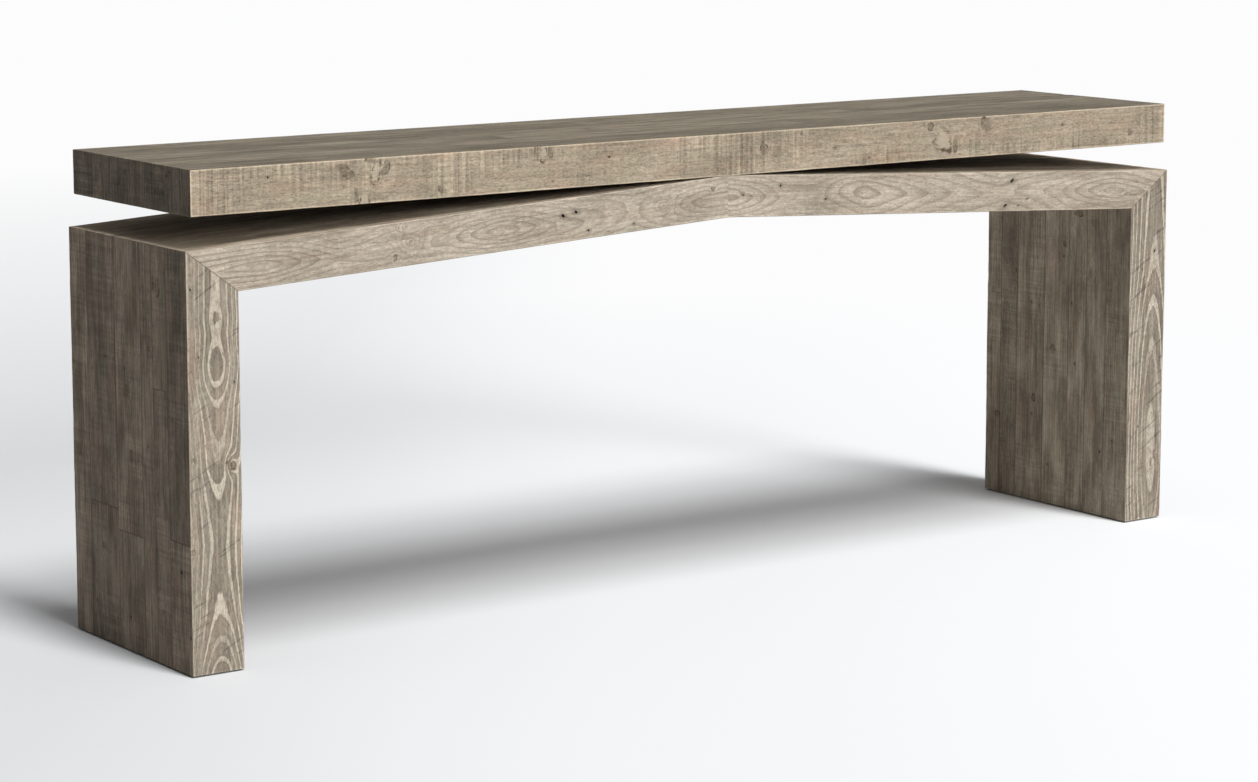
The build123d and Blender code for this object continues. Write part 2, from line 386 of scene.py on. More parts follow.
def wear_radius(points):
    even = 1.5 + 0.5 * slow_waves(points, 150 * MM, 1) + 0.3 * slow_waves(points, 27 * MM, 2)
    dents = np.maximum(slow_waves(points, 62 * MM, 3) - 1.2, 0) * 3.0
    return (np.maximum(even, 0.6) + dents) * MM


EDGE_WEAR_AND_HIGHLIGHT_REACH = 4 * MM  # how far from an arris the wood is paler: worn by hands, and a painted highlight


def worn(points, walls):
    """Points pulled in along a beam's arrises, and their wear and painted highlight. A wall is (normal,
    offset).
    """
    radius = wear_radius(points)
    pulls = [np.maximum(radius - (offset - points @ normal), 0) for normal, offset in walls]
    length = np.sqrt(sum(pull**2 for pull in pulls))
    share = np.max(pulls, axis=0) / np.maximum(length, 1e-9)
    moved = points.copy()
    for (normal, offset), pull in zip(walls, pulls):
        moved += ((share - 1) * pull)[:, None] * normal
    nearness = [(EDGE_WEAR_AND_HIGHLIGHT_REACH + points @ normal - offset) / EDGE_WEAR_AND_HIGHLIGHT_REACH for normal, offset in walls]
    second = np.sort(nearness, axis=0)[-2]
    return moved, np.clip(second, 0, 1)


def wall(point, normal):
    return normal, float(point @ normal)


FRONT = -BACK
rail_left_along = np.array((1.0, 0.0, rail_slope)) / math.hypot(1, rail_slope)
rail_right_along = rail_left_along * (1, 1, -1)
rail_left_up = np.array((-rail_slope, 0.0, 1.0)) / math.hypot(1, rail_slope)
rail_right_up = rail_left_up * (-1, 1, 1)
both_faces = [wall(table_low, FRONT), wall(table_high, BACK)]
slab_walls = both_faces + [wall(slab_low, -RIGHT), wall(slab_high, RIGHT)]
slab_walls += [wall(slab_low, -UP), wall(slab_high, UP)]


def leg_and_rail_walls(side):
    """The flat sides of one leg and of the rail that is mitred to it."""
    outward = side * RIGHT
    shoulder_edge = np.array((side * half_length, 0, shoulder))
    corner = np.array((side * leg_inside, 0, corner_under))
    up = rail_left_up if side < 0 else rail_right_up
    outer, top = wall(shoulder_edge, outward), wall(shoulder_edge, up)
    leg = both_faces + [outer, top, wall(corner, -outward), wall(UP * foot, -UP)]
    rail = both_faces + [outer, top, wall(corner, -up)]
    return leg, rail


print("arrises wear to a radius of", np.round(wear_radius(np.outer(np.linspace(-1, 1, 9), RIGHT)) / MM, 1))

# %% [markdown]
# ## A log under every board
#
# Painted stripes never look like sawn wood, because real stripes are slices through rings. So each
# board gets a small story of its log: where the heart of the tree ran under its face, and how deep.
# Where the heart dives, the rings come up as nested arches. Where it runs level, they are straight
# lines. Where it rises and dives again, they close into ovals. The result is one number at each
# point, counted in rings, and the finish turns whole numbers into lines. Knots push the rings up
# around them, which bends the lines exactly as branches do.

# %% Logs, knots and the rings they give
KNOT_KINDS = {"dark": 1, "pale": -1, "swirl": 0.12}  # a swirl shows its rings and hardly any heart
SWIRL_RINGS = 3.6


class Log:
    """heart: where the heart runs across the face. ring: a ring's width. dives: (along, rings deep)."""

    def __init__(self, heart, ring, dives, knots=(), tip=2.0, sway=0.35, faded=None):
        self.heart, self.ring, self.tip, self.sway = heart, ring, tip, sway
        self.along = [along for along, deep in dives]
        self.deep = [deep for along, deep in dives]
        self.knots, self.faded = knots, faded

    def depth(self, a):
        """The heart's depth, read at five places and averaged, which rounds its turns."""
        steps = np.linspace(-8, 8, 5) * MM
        return sum(np.interp(a + step, self.along, self.deep) for step in steps) / len(steps)

    def rings(self, a, b, seed):
        flat = np.stack((a * 0.35, b, np.zeros(len(a))), -1)
        sideways = b - self.heart + slow_waves(flat, 70 * MM, seed) * 1.2 * MM
        spread = np.abs(sideways) / self.ring
        rings = (spread**self.tip + self.depth(a) ** self.tip) ** (1 / self.tip)
        rings += self.sway * slow_waves(flat, 60 * MM, seed + 1)
        for along, across, size, kind, tall, lean in self.knots:
            away = np.hypot((a - along) / 1.6, b - across) / size
            height = SWIRL_RINGS if kind == "swirl" else min(2.2, size / (3 * MM))
            rings += height * np.exp(-((away / 1.5) ** 2))
        return rings

    def boldness(self, b):
        """How much of the ring lines is left: less where the face was rubbed."""
        if self.faded is None:
            return np.ones(len(b))
        return np.clip((b - self.faded[0]) / (self.faded[1] - self.faded[0]), 0.3, 1)

    def knot_marks(self, a, b):
        """1 in the heart of a dark knot, -1 in the heart of a pale one, 0 outside them."""
        marks = np.zeros(len(a))
        for along, across, size, kind, tall, lean in self.knots:
            lengthways = (a - along) * math.cos(lean) + (b - across) * math.sin(lean)
            sideways = ((b - across) * math.cos(lean) - (a - along) * math.sin(lean)) / tall
            turn = np.arctan2(sideways, lengthways)
            phase = along * 900
            outline = 1 + 0.16 * np.sin(2 * turn + phase) + 0.1 * np.sin(3 * turn + 2 * phase)
            away = np.hypot(lengthways, sideways) / (size * (outline + 0.07 * np.sin(5 * turn + 3 * phase)))
            mark = np.clip(1.5 - away, 0, 1.5) / 1.5 * KNOT_KINDS[kind]
            marks = np.where(np.abs(mark) > np.abs(marks), mark, marks)
        return marks


def chance_log(draw, low, high, start, end):
    """A log for a stave that nobody looks at alone: straight grain, arches, and a knot at times."""
    width = high - low
    heart = draw.uniform(low - 0.9 * width, high + 0.9 * width)
    keys = np.arange(start - 0.1, end + 0.5, draw.uniform(0.22, 0.42))
    dives = [(key, draw.uniform(0.5, 7.0)) for key in keys]
    knots = []
    for _ in range(draw.poisson(0.7 * (end - start) / 0.6)):
        size = draw.uniform(2.5, 8) * MM
        across = draw.uniform(low + 0.15 * width, high - 0.15 * width)
        knots.append((draw.uniform(start, end), across, size, "dark", draw.uniform(0.6, 1.1), 0.0))
    return Log(heart, draw.uniform(3.5, 6.5) * MM, dives, knots, draw.uniform(1.6, 2.0), 0.35)


# %% [markdown]
# ## From blank to piece
#
# One function saws, wears and marks a board. Others find the butts and seams of a row of staves in
# the CAD piece. The marks are stored on the mesh as attributes, and the finish reads them there:
# the place on the board, the ring, the knot, how near the board's edge is, and any stain.

# %% Finish a blank, and join boards into one mesh
RAMP = 4 * MM  # hollows and saw ridges fade out over this much beside a seam
CALM_RIDGE = 300 * MM  # near the ridge, the two rails' faces are one, with no dirt between them
OUT_OF_REACH = 1.0  # metres: too far for the dirt of a seam
KNOT_DEPTH = 1.5 * MM


def slices(corners, axis, direction, places):
    """Cut a board's corners at places along a direction, and return each length's corners."""
    pieces = []
    rest = np.moveaxis(corners, axis, 0)
    for place in places:
        reach = (place - rest[0] @ direction) / ((rest[1] - rest[0]) @ direction)
        middle = rest[0] + reach[..., None] * (rest[1] - rest[0])
        pieces.append(np.moveaxis(np.stack((rest[0], middle)), 0, axis))
        rest = np.stack((middle, rest[1]))
    pieces.append(np.moveaxis(rest, 0, axis))
    return pieces


def joints(node, direction, other, outward):
    """Places of the joints inside a row, read where the row's points lie on one edge of its face."""
    points = points_of(node)
    depth = points @ outward
    face = points[depth > (depth.max() + depth.min()) / 2]
    edge = face[face @ other < (face @ other).min() + NEAR]
    return distinct(edge @ direction)[1:-1]


def finished(blank, log, walls, seed, tone, low_limit=None):
    """A board's points in the room, its faces, and its marks."""
    places = np.concatenate(blank.places)
    points = blank.in_space(places)
    a, b = points @ blank.along, points @ blank.across
    sides = np.minimum(places[:, 1], blank.width - places[:, 1])
    ends = np.minimum(places[:, 0], blank.length - places[:, 0])
    if low_limit is not None and abs(blank.outward @ BACK) > 0.5:
        ends = np.where(np.abs(points[:, 0]) < CALM_RIDGE, OUT_OF_REACH, ends)
    rim = np.minimum(sides, ends)
    inside = np.zeros(len(places))
    inside[blank.dark] = 1
    down = np.where(inside > 0, 0, places[:, 2])
    stain = inside.copy()
    for along, across, reach, strength in blank.stains:
        away = np.hypot((places[:, 0] - along) / 1.8, places[:, 1] - across)
        stain = np.maximum(stain, strength * np.exp(-((away / reach) ** 2)))
    draw = np.random.default_rng(seed)
    shift = draw.uniform(-40, 40, 3)
    origin = np.array((0.0, 0.0, ridge))
    own = np.stack((a - origin @ blank.along, b - origin @ blank.across, down), -1) + shift * (1, 1, 0)
    points, edge = worn(points, walls)
    if low_limit is not None:
        points[:, 2] = np.minimum(points[:, 2], low_limit)
    marks = {
        "board": own,
        "out": np.broadcast_to(blank.outward, points.shape),
        "ring": log.rings(a, b, seed) + down / log.ring * 0.5,
        "knot": log.knot_marks(a, b) * (down < KNOT_DEPTH),
        "bold": log.boldness(b),
        "rim": (rim - down) / MM,
        "stain": stain,
        "skin": np.clip(rim / RAMP, 0, 1) * (down < EASE),
        "tone": np.full(len(points), tone),
        "edge": edge,
    }
    keep = np.ones(len(points), bool)
    keep[: len(blank.kept)] = blank.kept
    number = np.cumsum(keep) - 1
    flip = np.cross(blank.along, blank.across) @ blank.outward < 0
    faces = [[number[corner] for corner in face] for face in blank.faces()]
    if flip:
        faces = [face[::-1] for face in faces]
    return points[keep], faces, {name: mark[keep] for name, mark in marks.items()}


def join(boards):
    """One set of points, faces and marks from several boards."""
    faces = []
    count = 0
    for points, board_faces, marks in boards:
        faces += [[corner + count for corner in face] for face in board_faces]
        count += len(points)
    points = np.concatenate([board[0] for board in boards])
    marks = {name: np.concatenate([board[2][name] for board in boards]) for name in boards[0][2]}
    return points, faces, marks


def mesh_object(name, points, faces, marks):
    mesh = bpy.data.meshes.new(name)
    mesh.from_pydata(points.tolist(), [], faces)
    for mark, values in marks.items():
        kind = "FLOAT_VECTOR" if values.ndim == 2 else "FLOAT"
        layer = mesh.attributes.new(mark, kind, "POINT")
        key = "vector" if values.ndim == 2 else "value"
        layer.data.foreach_set(key, values.astype(np.float32).ravel())
    mesh.update()
    piece = bpy.data.objects.new(name, mesh)
    bpy.context.scene.collection.objects.link(piece)
    return piece


print("a blank, its log and its marks are ready to be joined into pieces")

# %% [markdown]
# ## Planing and sawing with Geometry Nodes
#
# No reclaimed board is flat. The planer leaves hollows as long as a hand, and the band saw leaves
# ridges across the grain. Both follow a rule, so a Geometry Nodes tree makes them on every board:
# it moves each point of the face along its outward direction. Points at the rim stay, so that the
# seams stay shut. The tree ends by realizing and giving the piece its finish.

# %% The worn-board tree
def add_node(tree, kind, *values, **settings):
    """A node with its settings, and its first inputs set to values or tied to other outputs."""
    node = tree.nodes.new(kind)
    for key, value in settings.items():
        setattr(node, key, value)
    for socket, value in zip(node.inputs, values):
        if isinstance(value, bpy.types.NodeSocket):
            tree.links.new(value, socket)
        elif value is not None:
            socket.default_value = value
    return node


def math_node(tree, operation, *values):
    return add_node(tree, "ShaderNodeMath", *values, operation=operation).outputs[0]


def vector_node(tree, operation, *values):
    return add_node(tree, "ShaderNodeVectorMath", *values, operation=operation).outputs[0]


def new_tree(name, inputs):
    """A Geometry Nodes tree with a geometry in and out, and named inputs."""
    tree = bpy.data.node_groups.new(name, "GeometryNodeTree")
    tree.interface.new_socket("Geometry", in_out="INPUT", socket_type="NodeSocketGeometry")
    for label, kind in inputs:
        tree.interface.new_socket(label, in_out="INPUT", socket_type="NodeSocket" + kind)
    tree.interface.new_socket("Geometry", in_out="OUTPUT", socket_type="NodeSocketGeometry")
    return tree, tree.nodes.new("NodeGroupInput"), tree.nodes.new("NodeGroupOutput")


def end_tree(tree, geometry, material, group_out):
    """Every tree ends in the same way: realized, and with its finish."""
    real = add_node(tree, "GeometryNodeRealizeInstances", geometry).outputs[0]
    finish = add_node(tree, "GeometryNodeSetMaterial", real, None, material).outputs[0]
    tree.links.new(finish, group_out.inputs[0])


def read_mark(tree, name, kind):
    node = add_node(tree, "GeometryNodeInputNamedAttribute", name, data_type=kind)
    return node.outputs[0]


board_inputs = [("Hollow depth", "Float"), ("Hollow length", "Float"), ("Saw depth", "Float")]
board_inputs += [("Saw pitch", "Float"), ("Seed", "Float"), ("Finish", "Material")]
worn_board, group_in, group_out = new_tree("worn_board", board_inputs)
inlet = {socket.name: socket for socket in group_in.outputs}
place = read_mark(worn_board, "board", "FLOAT_VECTOR")
outwards = read_mark(worn_board, "out", "FLOAT_VECTOR")
skin = read_mark(worn_board, "skin", "FLOAT")


def noise_along(tree, vector, length, squeeze, seed, detail):
    """Noise whose waves are as long as length along the grain, and squeezed across it."""
    per_metre = math_node(tree, "DIVIDE", 1.0, length)
    shape = vector_node(tree, "MULTIPLY", vector, (1, squeeze, squeeze))
    node = add_node(tree, "ShaderNodeTexNoise", noise_dimensions="4D")
    tree.links.new(shape, node.inputs["Vector"])
    tree.links.new(seed, node.inputs["W"])
    tree.links.new(per_metre, node.inputs["Scale"])
    node.inputs["Detail"].default_value = detail
    return math_node(tree, "SUBTRACT", node.outputs[0], 0.5)


hollow = noise_along(worn_board, place, inlet["Hollow length"], 1.8, inlet["Seed"], 1.0)
ridges = noise_along(worn_board, place, inlet["Saw pitch"], 0.06, inlet["Seed"], 0.0)
hollow_move = math_node(worn_board, "MULTIPLY", hollow, inlet["Hollow depth"])
ridge_move = math_node(worn_board, "MULTIPLY", ridges, inlet["Saw depth"])
both_moves = math_node(worn_board, "ADD", hollow_move, ridge_move)
on_skin = math_node(worn_board, "MULTIPLY", both_moves, skin)
offset = add_node(worn_board, "ShaderNodeVectorMath", outwards, operation="SCALE")
worn_board.links.new(on_skin, offset.inputs["Scale"])
moved = add_node(worn_board, "GeometryNodeSetPosition", inlet["Geometry"])
worn_board.links.new(offset.outputs[0], moved.inputs["Offset"])
end_tree(worn_board, moved.outputs[0], inlet["Finish"], group_out)


def run_tree(piece, tree, **values):
    """Put a tree on a piece, set its inputs by their identifiers, and keep the plain result."""
    modifier = piece.modifiers.new(tree.name, "NODES")
    modifier.node_group = tree
    for socket in tree.interface.items_tree:
        label = socket.name.lower().replace(" ", "_")
        if socket.in_out == "INPUT" and label in values:
            modifier[socket.identifier] = values[label]
    bpy.context.view_layer.update()
    evaluated = piece.evaluated_get(bpy.context.evaluated_depsgraph_get())
    mesh = bpy.data.meshes.new_from_object(evaluated)
    piece.modifiers.remove(modifier)
    old, piece.data = piece.data, mesh
    bpy.data.meshes.remove(old)
    mesh.name = piece.name
    return piece


print("worn_board has", len(worn_board.nodes), "nodes and the inputs", [label for label, _ in board_inputs])

# %% [markdown]
# ## The finish: grey-washed, wire-brushed pine
#
# Real weathered pine is built up in layers, and so is the finish. First the ground: streaks along
# the grain with slow blotches of grey wash. Then the rings, as lines where the wash sits or where
# the hard latewood shows. Then saw marks across the grain, knots, grime in the seams, rust round
# nail holes, and scratches. Height for the bump comes from the same layers, so that lines that are
# dark are also the ones that are sunken. Each layer is a function, and one more function stacks
# them into a finish. Only colours and strengths change, as one tin of stain looks different on a
# face board and on a stave.

# %% A small kit for layered finishes
class Finish:
    """A material being built: short names for the few kinds of node that wood needs."""

    def __init__(self, name):
        self.material = bpy.data.materials.new(name)
        self.material.use_nodes = True
        self.tree = self.material.node_tree
        self.shader = self.tree.nodes["Principled BSDF"]

    def mark(self, name, vector=False):
        node = add_node(self.tree, "ShaderNodeAttribute", attribute_name=name)
        return node.outputs["Vector" if vector else "Fac"]

    def math(self, operation, *values):
        return math_node(self.tree, operation, *values)

    def noise(self, vector, scale, detail=3.0, roughness=0.55, lift=(0, 0, 0)):
        """Noise with its own scale along the grain, across it and into the board."""
        moved = add_node(self.tree, "ShaderNodeVectorMath", vector, lift, operation="ADD").outputs[0]
        shape = add_node(self.tree, "ShaderNodeVectorMath", moved, scale, operation="MULTIPLY").outputs[0]
        node = add_node(self.tree, "ShaderNodeTexNoise", shape)
        node.inputs["Scale"].default_value = 1.0
        node.inputs["Detail"].default_value = detail
        node.inputs["Roughness"].default_value = roughness
        return node.outputs[0]

    def window(self, value, low, high, bottom=0.0, top=1.0):
        """Stretch what lies between low and high, and clip the rest."""
        node = add_node(self.tree, "ShaderNodeMapRange", value, low, high, bottom, top)
        return node.outputs[0]

    def ramp(self, value, stops):
        node = add_node(self.tree, "ShaderNodeValToRGB", value)
        elements = node.color_ramp.elements
        while len(elements) < len(stops):
            elements.new(0.5)
        for element, (position, shade) in zip(elements, stops):
            element.position = position
            element.color = shade if len(shade) == 4 else (*shade, 1)
        return node.outputs[0]

    def steps(self, value, stops):
        return self.ramp(value, [(position, (shade, shade, shade)) for position, shade in stops])

    def mix(self, amount, first, second, blend="MIX"):
        node = self.tree.nodes.new("ShaderNodeMix")
        node.data_type = "RGBA"
        node.blend_type = blend
        for socket, value in zip((node.inputs[0], node.inputs[6], node.inputs[7]), (amount, first, second)):
            if isinstance(value, bpy.types.NodeSocket):
                self.tree.links.new(value, socket)
            else:
                socket.default_value = value
        return node.outputs[2]

    def done(self, colour, roughness, height, bump_depth, specular=0.25):
        bump = self.tree.nodes.new("ShaderNodeBump")
        bump.inputs["Strength"].default_value = 1.0
        bump.inputs["Distance"].default_value = bump_depth
        self.tree.links.new(height, bump.inputs["Height"])
        self.tree.links.new(bump.outputs[0], self.shader.inputs["Normal"])
        self.tree.links.new(colour, self.shader.inputs["Base Color"])
        self.tree.links.new(roughness, self.shader.inputs["Roughness"])
        self.shader.inputs["Specular IOR Level"].default_value = specular
        return self.material


def linear(red, green, blue):
    """A paint chart's 0 to 255 colour as the linear one that nodes work in."""
    values = [shade / 255 for shade in (red, green, blue)]
    return (*[v / 12.92 if v <= 0.04045 else ((v + 0.055) / 1.055) ** 2.4 for v in values], 1.0)


print("a linen colour of 200, 190, 170 is", np.round(linear(200, 190, 170), 3))

# %% Colours and bands that the finishes share
RING_EDGES = {
    "arches": [(0.0, 0.0), (0.03, 1.0), (0.29, 1.0), (0.33, 0.0)],
    "lines": [(0.0, 0.0), (0.5, 0.0), (0.88, 0.7), (0.95, 1.0), (1.0, 0.0)],
}
RING_SHADOW = {
    "arches": [(0.0, 1.0), (0.04, 0.0), (0.28, 0.0), (0.36, 1.0), (0.62, 0.15), (0.85, 0.2), (1.0, 1.0)],
    "lines": [(0.0, 0.0), (0.6, 0.0), (0.85, 0.6), (0.97, 0.6), (1.0, 0.0)],
}
RUST, MOSS = linear(168, 132, 110), linear(128, 131, 108)
KNOT_HEART, GRIME, SOOT = linear(82, 69, 54), linear(58, 49, 40), linear(44, 36, 29)
SCRATCH_TURN = math.radians(-62)
WOOD_BUMP = 0.5 * MM


# %% Patterns on a board, which the layers share
class WoodFinish(Finish):
    """A wood finish being built. Its patterns are finer across the grain than along it."""

    def __init__(self, name):
        super().__init__(name)
        self.place = self.mark("board", vector=True)
        self.streak = self.noise(self.place, (5, 210, 210), 5.0, 0.62)
        self.fibre = self.noise(self.place, (60, 1300, 1300), 3.0, 0.65, (3, 3, 3))
        self.patch = self.noise(self.place, (7, 26, 26), 4.0, 0.65, (7, 1, 4))
        self.wash = self.noise(self.place, (60, 110, 110), 4.0, 0.7, (1, 9, 2))
        self.mottle = self.noise(self.place, (150, 330, 330), 3.0, 0.7, (5, 3, 8))
        self.hue = self.noise(self.place, (9, 40, 40), 3.0, 0.6, (9, 9, 1))
        self.dashes = self.window(self.noise(self.place, (38, 620, 620), 3.0, 0.6, (8, 2, 5)), 0.6, 0.7)
        self.pits = self.window(self.mottle, 0.4, 0.6, 0.25, 1.0)

    def times(self, first, second):
        return self.math("MULTIPLY", first, second)

    def plus(self, first, second):
        return self.math("ADD", first, second)

    def minus(self, first, second):
        return self.math("SUBTRACT", first, second)

    def swing(self, pattern, amount):
        """A pattern as a push either way, as strong as amount."""
        return self.times(self.minus(pattern, 0.5), amount)


# %% The ground: streaks and blotches, then a little rust and a little moss
def ground(wood, dark, middle, light, patchy, streaky, rusty):
    mood = wood.plus(wood.swing(wood.streak, streaky), wood.swing(wood.patch, patchy))
    colour = wood.ramp(wood.plus(mood, 0.5), [(0.34, dark), (0.5, middle), (0.66, light)])
    colour = wood.mix(wood.window(wood.hue, 0.52, 0.7, 0.0, rusty), colour, RUST)
    return wood.mix(wood.window(wood.hue, 0.46, 0.3, 0.0, rusty), colour, MOSS)


# %% Rings, some strong and some faint, rubbed away in places
def ring_layer(wood, rings):
    """Where the ring lines lie, and the shade beside them, both from 0 to 1."""
    wobble = wood.noise(wood.place, (14, 90, 90), 4.0, 0.7, (5, 5, 5))
    ring = wood.plus(wood.mark("ring"), wood.swing(wobble, 0.3))
    ring = wood.plus(ring, wood.swing(wood.mottle, 0.12))
    turn = wood.math("FRACT", ring)
    whole_years = wood.math("FLOOR", ring)
    tree_year = add_node(wood.tree, "ShaderNodeCombineXYZ", whole_years, 0.0, 0.0).outputs[0]
    year = wood.noise(tree_year, (7.3, 0, 0), 0.0)
    rubbed = wood.times(wood.window(year, 0.35, 0.62, 0.5, 1.0), wood.mark("bold"))
    rubbed = wood.times(rubbed, wood.window(wood.wash, 0.3, 0.48, 0.5, 1.0))
    inked = wood.times(wood.steps(turn, RING_EDGES[rings]), rubbed)
    ring_shade = wood.times(wood.steps(turn, RING_SHADOW[rings]), rubbed)
    return inked, wood.times(ring_shade, wood.pits)


# %% Saw marks in patches: thin lines, and strips that took the wash differently
def saw_layer(wood, saw):
    teeth = wood.noise(wood.place, (170, 3, 3), 3.0, 0.7, (2, 8, 8))
    strips = wood.noise(wood.place, (26, 5, 5), 3.0, 0.6, (6, 6, 2))
    area = wood.noise(wood.place, (5, 8, 8), 2.0, 0.5, (4, 4, 0))
    lines = wood.window(teeth, 0.34, 0.66, -0.5, 0.5)
    lines = wood.plus(lines, wood.window(strips, 0.44, 0.56, -0.17, 0.17))
    sawn = wood.times(lines, wood.window(area, 0.44, 0.58, 0.05, 1.0))
    sawn = wood.times(sawn, wood.window(wood.wash, 0.3, 0.6, 0.4, 1.0))
    return wood.times(sawn, saw)


# %% Light and dark of everything together
def shade_layer(wood, sawn, ring_shade, mottled, scratches, worn_edge):
    """One grey that the colour is multiplied by."""
    specks = wood.window(wood.noise(wood.place, (260, 420, 420), 2.0, 0.6, (2, 5, 5)), 0.62, 0.7)
    shade = wood.plus(wood.swing(wood.fibre, 0.8), wood.swing(wood.wash, mottled))
    shade = wood.plus(shade, wood.swing(wood.mottle, mottled * 1.5))
    shade = wood.plus(shade, sawn)
    shade = wood.minus(shade, wood.times(wood.dashes, 0.2))
    shade = wood.minus(shade, wood.times(specks, mottled * 0.5))
    shade = wood.minus(shade, wood.times(ring_shade, 0.3))
    # Each board's tone: at random or given, with painted shade on the slab's ends and painted light on the
    # rails' tops
    shade = wood.plus(shade, wood.times(wood.mark("tone"), 0.12))
    # Edge wear and painted highlight: the wood is paler near an arris
    shade = wood.plus(shade, wood.window(wood.mark("edge"), 0.25, 1.0, 0.0, worn_edge))
    if scratches:
        slanted = add_node(wood.tree, "ShaderNodeVectorRotate", wood.place, rotation_type="Z_AXIS")
        slanted.inputs["Angle"].default_value = SCRATCH_TURN
        cuts = wood.noise(slanted.outputs[0], (11, 120, 120), 2.0, 0.5, (6, 2, 2))
        shade = wood.minus(shade, wood.window(cuts, 0.62, 0.66, 0.0, scratches))
    factor = wood.math("MAXIMUM", wood.plus(shade, 1.0), 0.2)
    return add_node(wood.tree, "ShaderNodeCombineColor", factor, factor, factor).outputs[0]


# %% Knots: dark clusters, and pale hearts worn smooth, each with a broken rim
def knot_layer(wood, colour, light, knotty):
    ragged = wood.plus(wood.swing(wood.mottle, 0.5), wood.swing(wood.wash, 0.5))
    knot = wood.mark("knot")
    dark_knot = wood.plus(knot, ragged)
    knot_rings = wood.math("SINE", wood.times(dark_knot, 26.0))
    heart = wood.times(wood.window(dark_knot, 0.2, 0.6), wood.window(knot_rings, -1, 1, 0.5, 1.0))
    heart = wood.times(heart, wood.pits)
    colour = wood.mix(wood.times(heart, knotty), colour, KNOT_HEART)
    pale_knot = wood.minus(ragged, knot)
    colour = wood.mix(wood.window(pale_knot, 0.4, 0.6, 0.0, 0.6), colour, light)
    size = wood.math("MAXIMUM", dark_knot, pale_knot)
    broken = wood.window(wood.noise(wood.place, (45, 70, 70), 2.0, 0.6, (1, 2, 9)), 0.45, 0.58)
    rim_line = wood.minus(wood.window(size, 0.1, 0.24), wood.window(size, 0.34, 0.5))
    rim_line = wood.times(wood.times(rim_line, broken), knotty)
    return wood.mix(rim_line, colour, KNOT_HEART)


# %% Grime in the seams, and dirt in holes and cracks
def grime_layer(wood, colour):
    grime = wood.window(wood.mark("rim"), 0.2, 1.7, 0.7, 0.0)
    grime = wood.times(grime, wood.window(wood.wash, 0.3, 0.6, 0.3, 1.0))
    colour = wood.mix(grime, colour, GRIME)
    stain = wood.plus(wood.mark("stain"), wood.swing(wood.mottle, 0.25))
    return wood.mix(wood.window(stain, 0.2, 1.0, 0.0, 0.85), colour, SOOT)


# %% All layers together
def weathered(
    name, dark, middle, light, line, rings, line_strength,
    saw=0.1, patchy=0.5, streaky=1.0, mottled=0.4, scratches=0.0, rusty=0.12, worn_edge=0.7,
    knotty=0.75,
):
    """A wood finish from its three ground colours, its ring lines, and how strong each layer is."""
    wood = WoodFinish(name)
    colour = ground(wood, dark, middle, light, patchy, streaky, rusty)
    inked, ring_shade = ring_layer(wood, rings)
    colour = wood.mix(wood.times(inked, line_strength), colour, line)
    sawn = saw_layer(wood, saw)
    grey = shade_layer(wood, sawn, ring_shade, mottled, scratches, worn_edge)
    colour = wood.mix(1.0, colour, grey, "MULTIPLY")
    colour = knot_layer(wood, colour, light, knotty)
    colour = grime_layer(wood, colour)
    height = wood.plus(wood.fibre, wood.times(wood.streak, 0.6))
    height = wood.plus(height, wood.times(inked, 0.35))
    height = wood.plus(height, wood.times(sawn, 1.2))
    height = wood.minus(height, wood.times(wood.dashes, 0.5))
    dull = wood.plus(wood.streak, wood.times(wood.wash, 0.3))
    return wood.done(colour, wood.window(dull, 0.4, 1.0, 0.88, 0.68), height, WOOD_BUMP)


# %% The six finishes of this table
face_legs = weathered(
    "weathered_face_of_legs",
    linear(118, 109, 96), linear(138, 128, 114), linear(157, 147, 131), linear(196, 185, 168),
    "arches", 0.77, saw=0.1, patchy=0.9, streaky=0.9, mottled=0.85, scratches=0.3, rusty=0.25,
)
face_rails = weathered(
    "weathered_face_of_rails",
    linear(146, 135, 120), linear(166, 155, 139), linear(184, 172, 156), linear(110, 100, 86),
    "lines", 0.6, saw=0.1, patchy=0.8, streaky=0.7, mottled=0.75, rusty=0.15, knotty=1.0,
)
face_slab = weathered(
    "weathered_face_of_slab",
    linear(128, 116, 99), linear(150, 137, 118), linear(169, 156, 137), linear(118, 106, 90),
    "lines", 0.12, saw=0.7, patchy=0.5, streaky=0.4, mottled=1.05, rusty=0.25, worn_edge=1.6,
    knotty=1.0,
)
staves_top = weathered(
    "weathered_staves_of_slab",
    linear(96, 89, 76), linear(122, 114, 99), linear(146, 137, 121), linear(82, 73, 60),
    "lines", 0.5, saw=0.1, patchy=0.5, streaky=1.2, mottled=0.4, worn_edge=0.3,
)
# A darker copy of the stave finish, for the legs' outer sides, the slab's ends and its underside: painted
# shade
staves_painted_shade = weathered(
    "weathered_staves_outside",
    linear(90, 80, 68), linear(112, 101, 87), linear(133, 121, 106), linear(80, 68, 56),
    "lines", 0.35, saw=0.45, patchy=1.15, streaky=0.75, mottled=0.6, rusty=0.2, worn_edge=0.2,
    knotty=1.0,
)
# A paler copy of the stave finish, for the legs' inner sides and the rails' staves: painted light
staves_painted_light = weathered(
    "weathered_staves_inside",
    linear(116, 104, 90), linear(142, 130, 113), linear(166, 154, 136), linear(96, 84, 70),
    "lines", 0.3, saw=0.4, patchy=1.05, streaky=0.65, mottled=0.6, rusty=0.2, worn_edge=0.2,
    knotty=1.0,
)
print("wood finishes:", [m.name for m in bpy.data.materials if m.name.startswith("weathered_")])

# %% [markdown]
# ## Finishes that hide inside
#
# Ribs, blocks, splines, bolts, washers, inserts and glides keep their CAD shapes, which are right as
# they are. They are seldom seen, but a part that is opened or cut should still be honest inside, so
# each gets a finish of its own: fresh pine, layered birch, dull zinc, brass and white nylon. These
# shapes carry no board marks, so their patterns read Object coordinates, in metres.

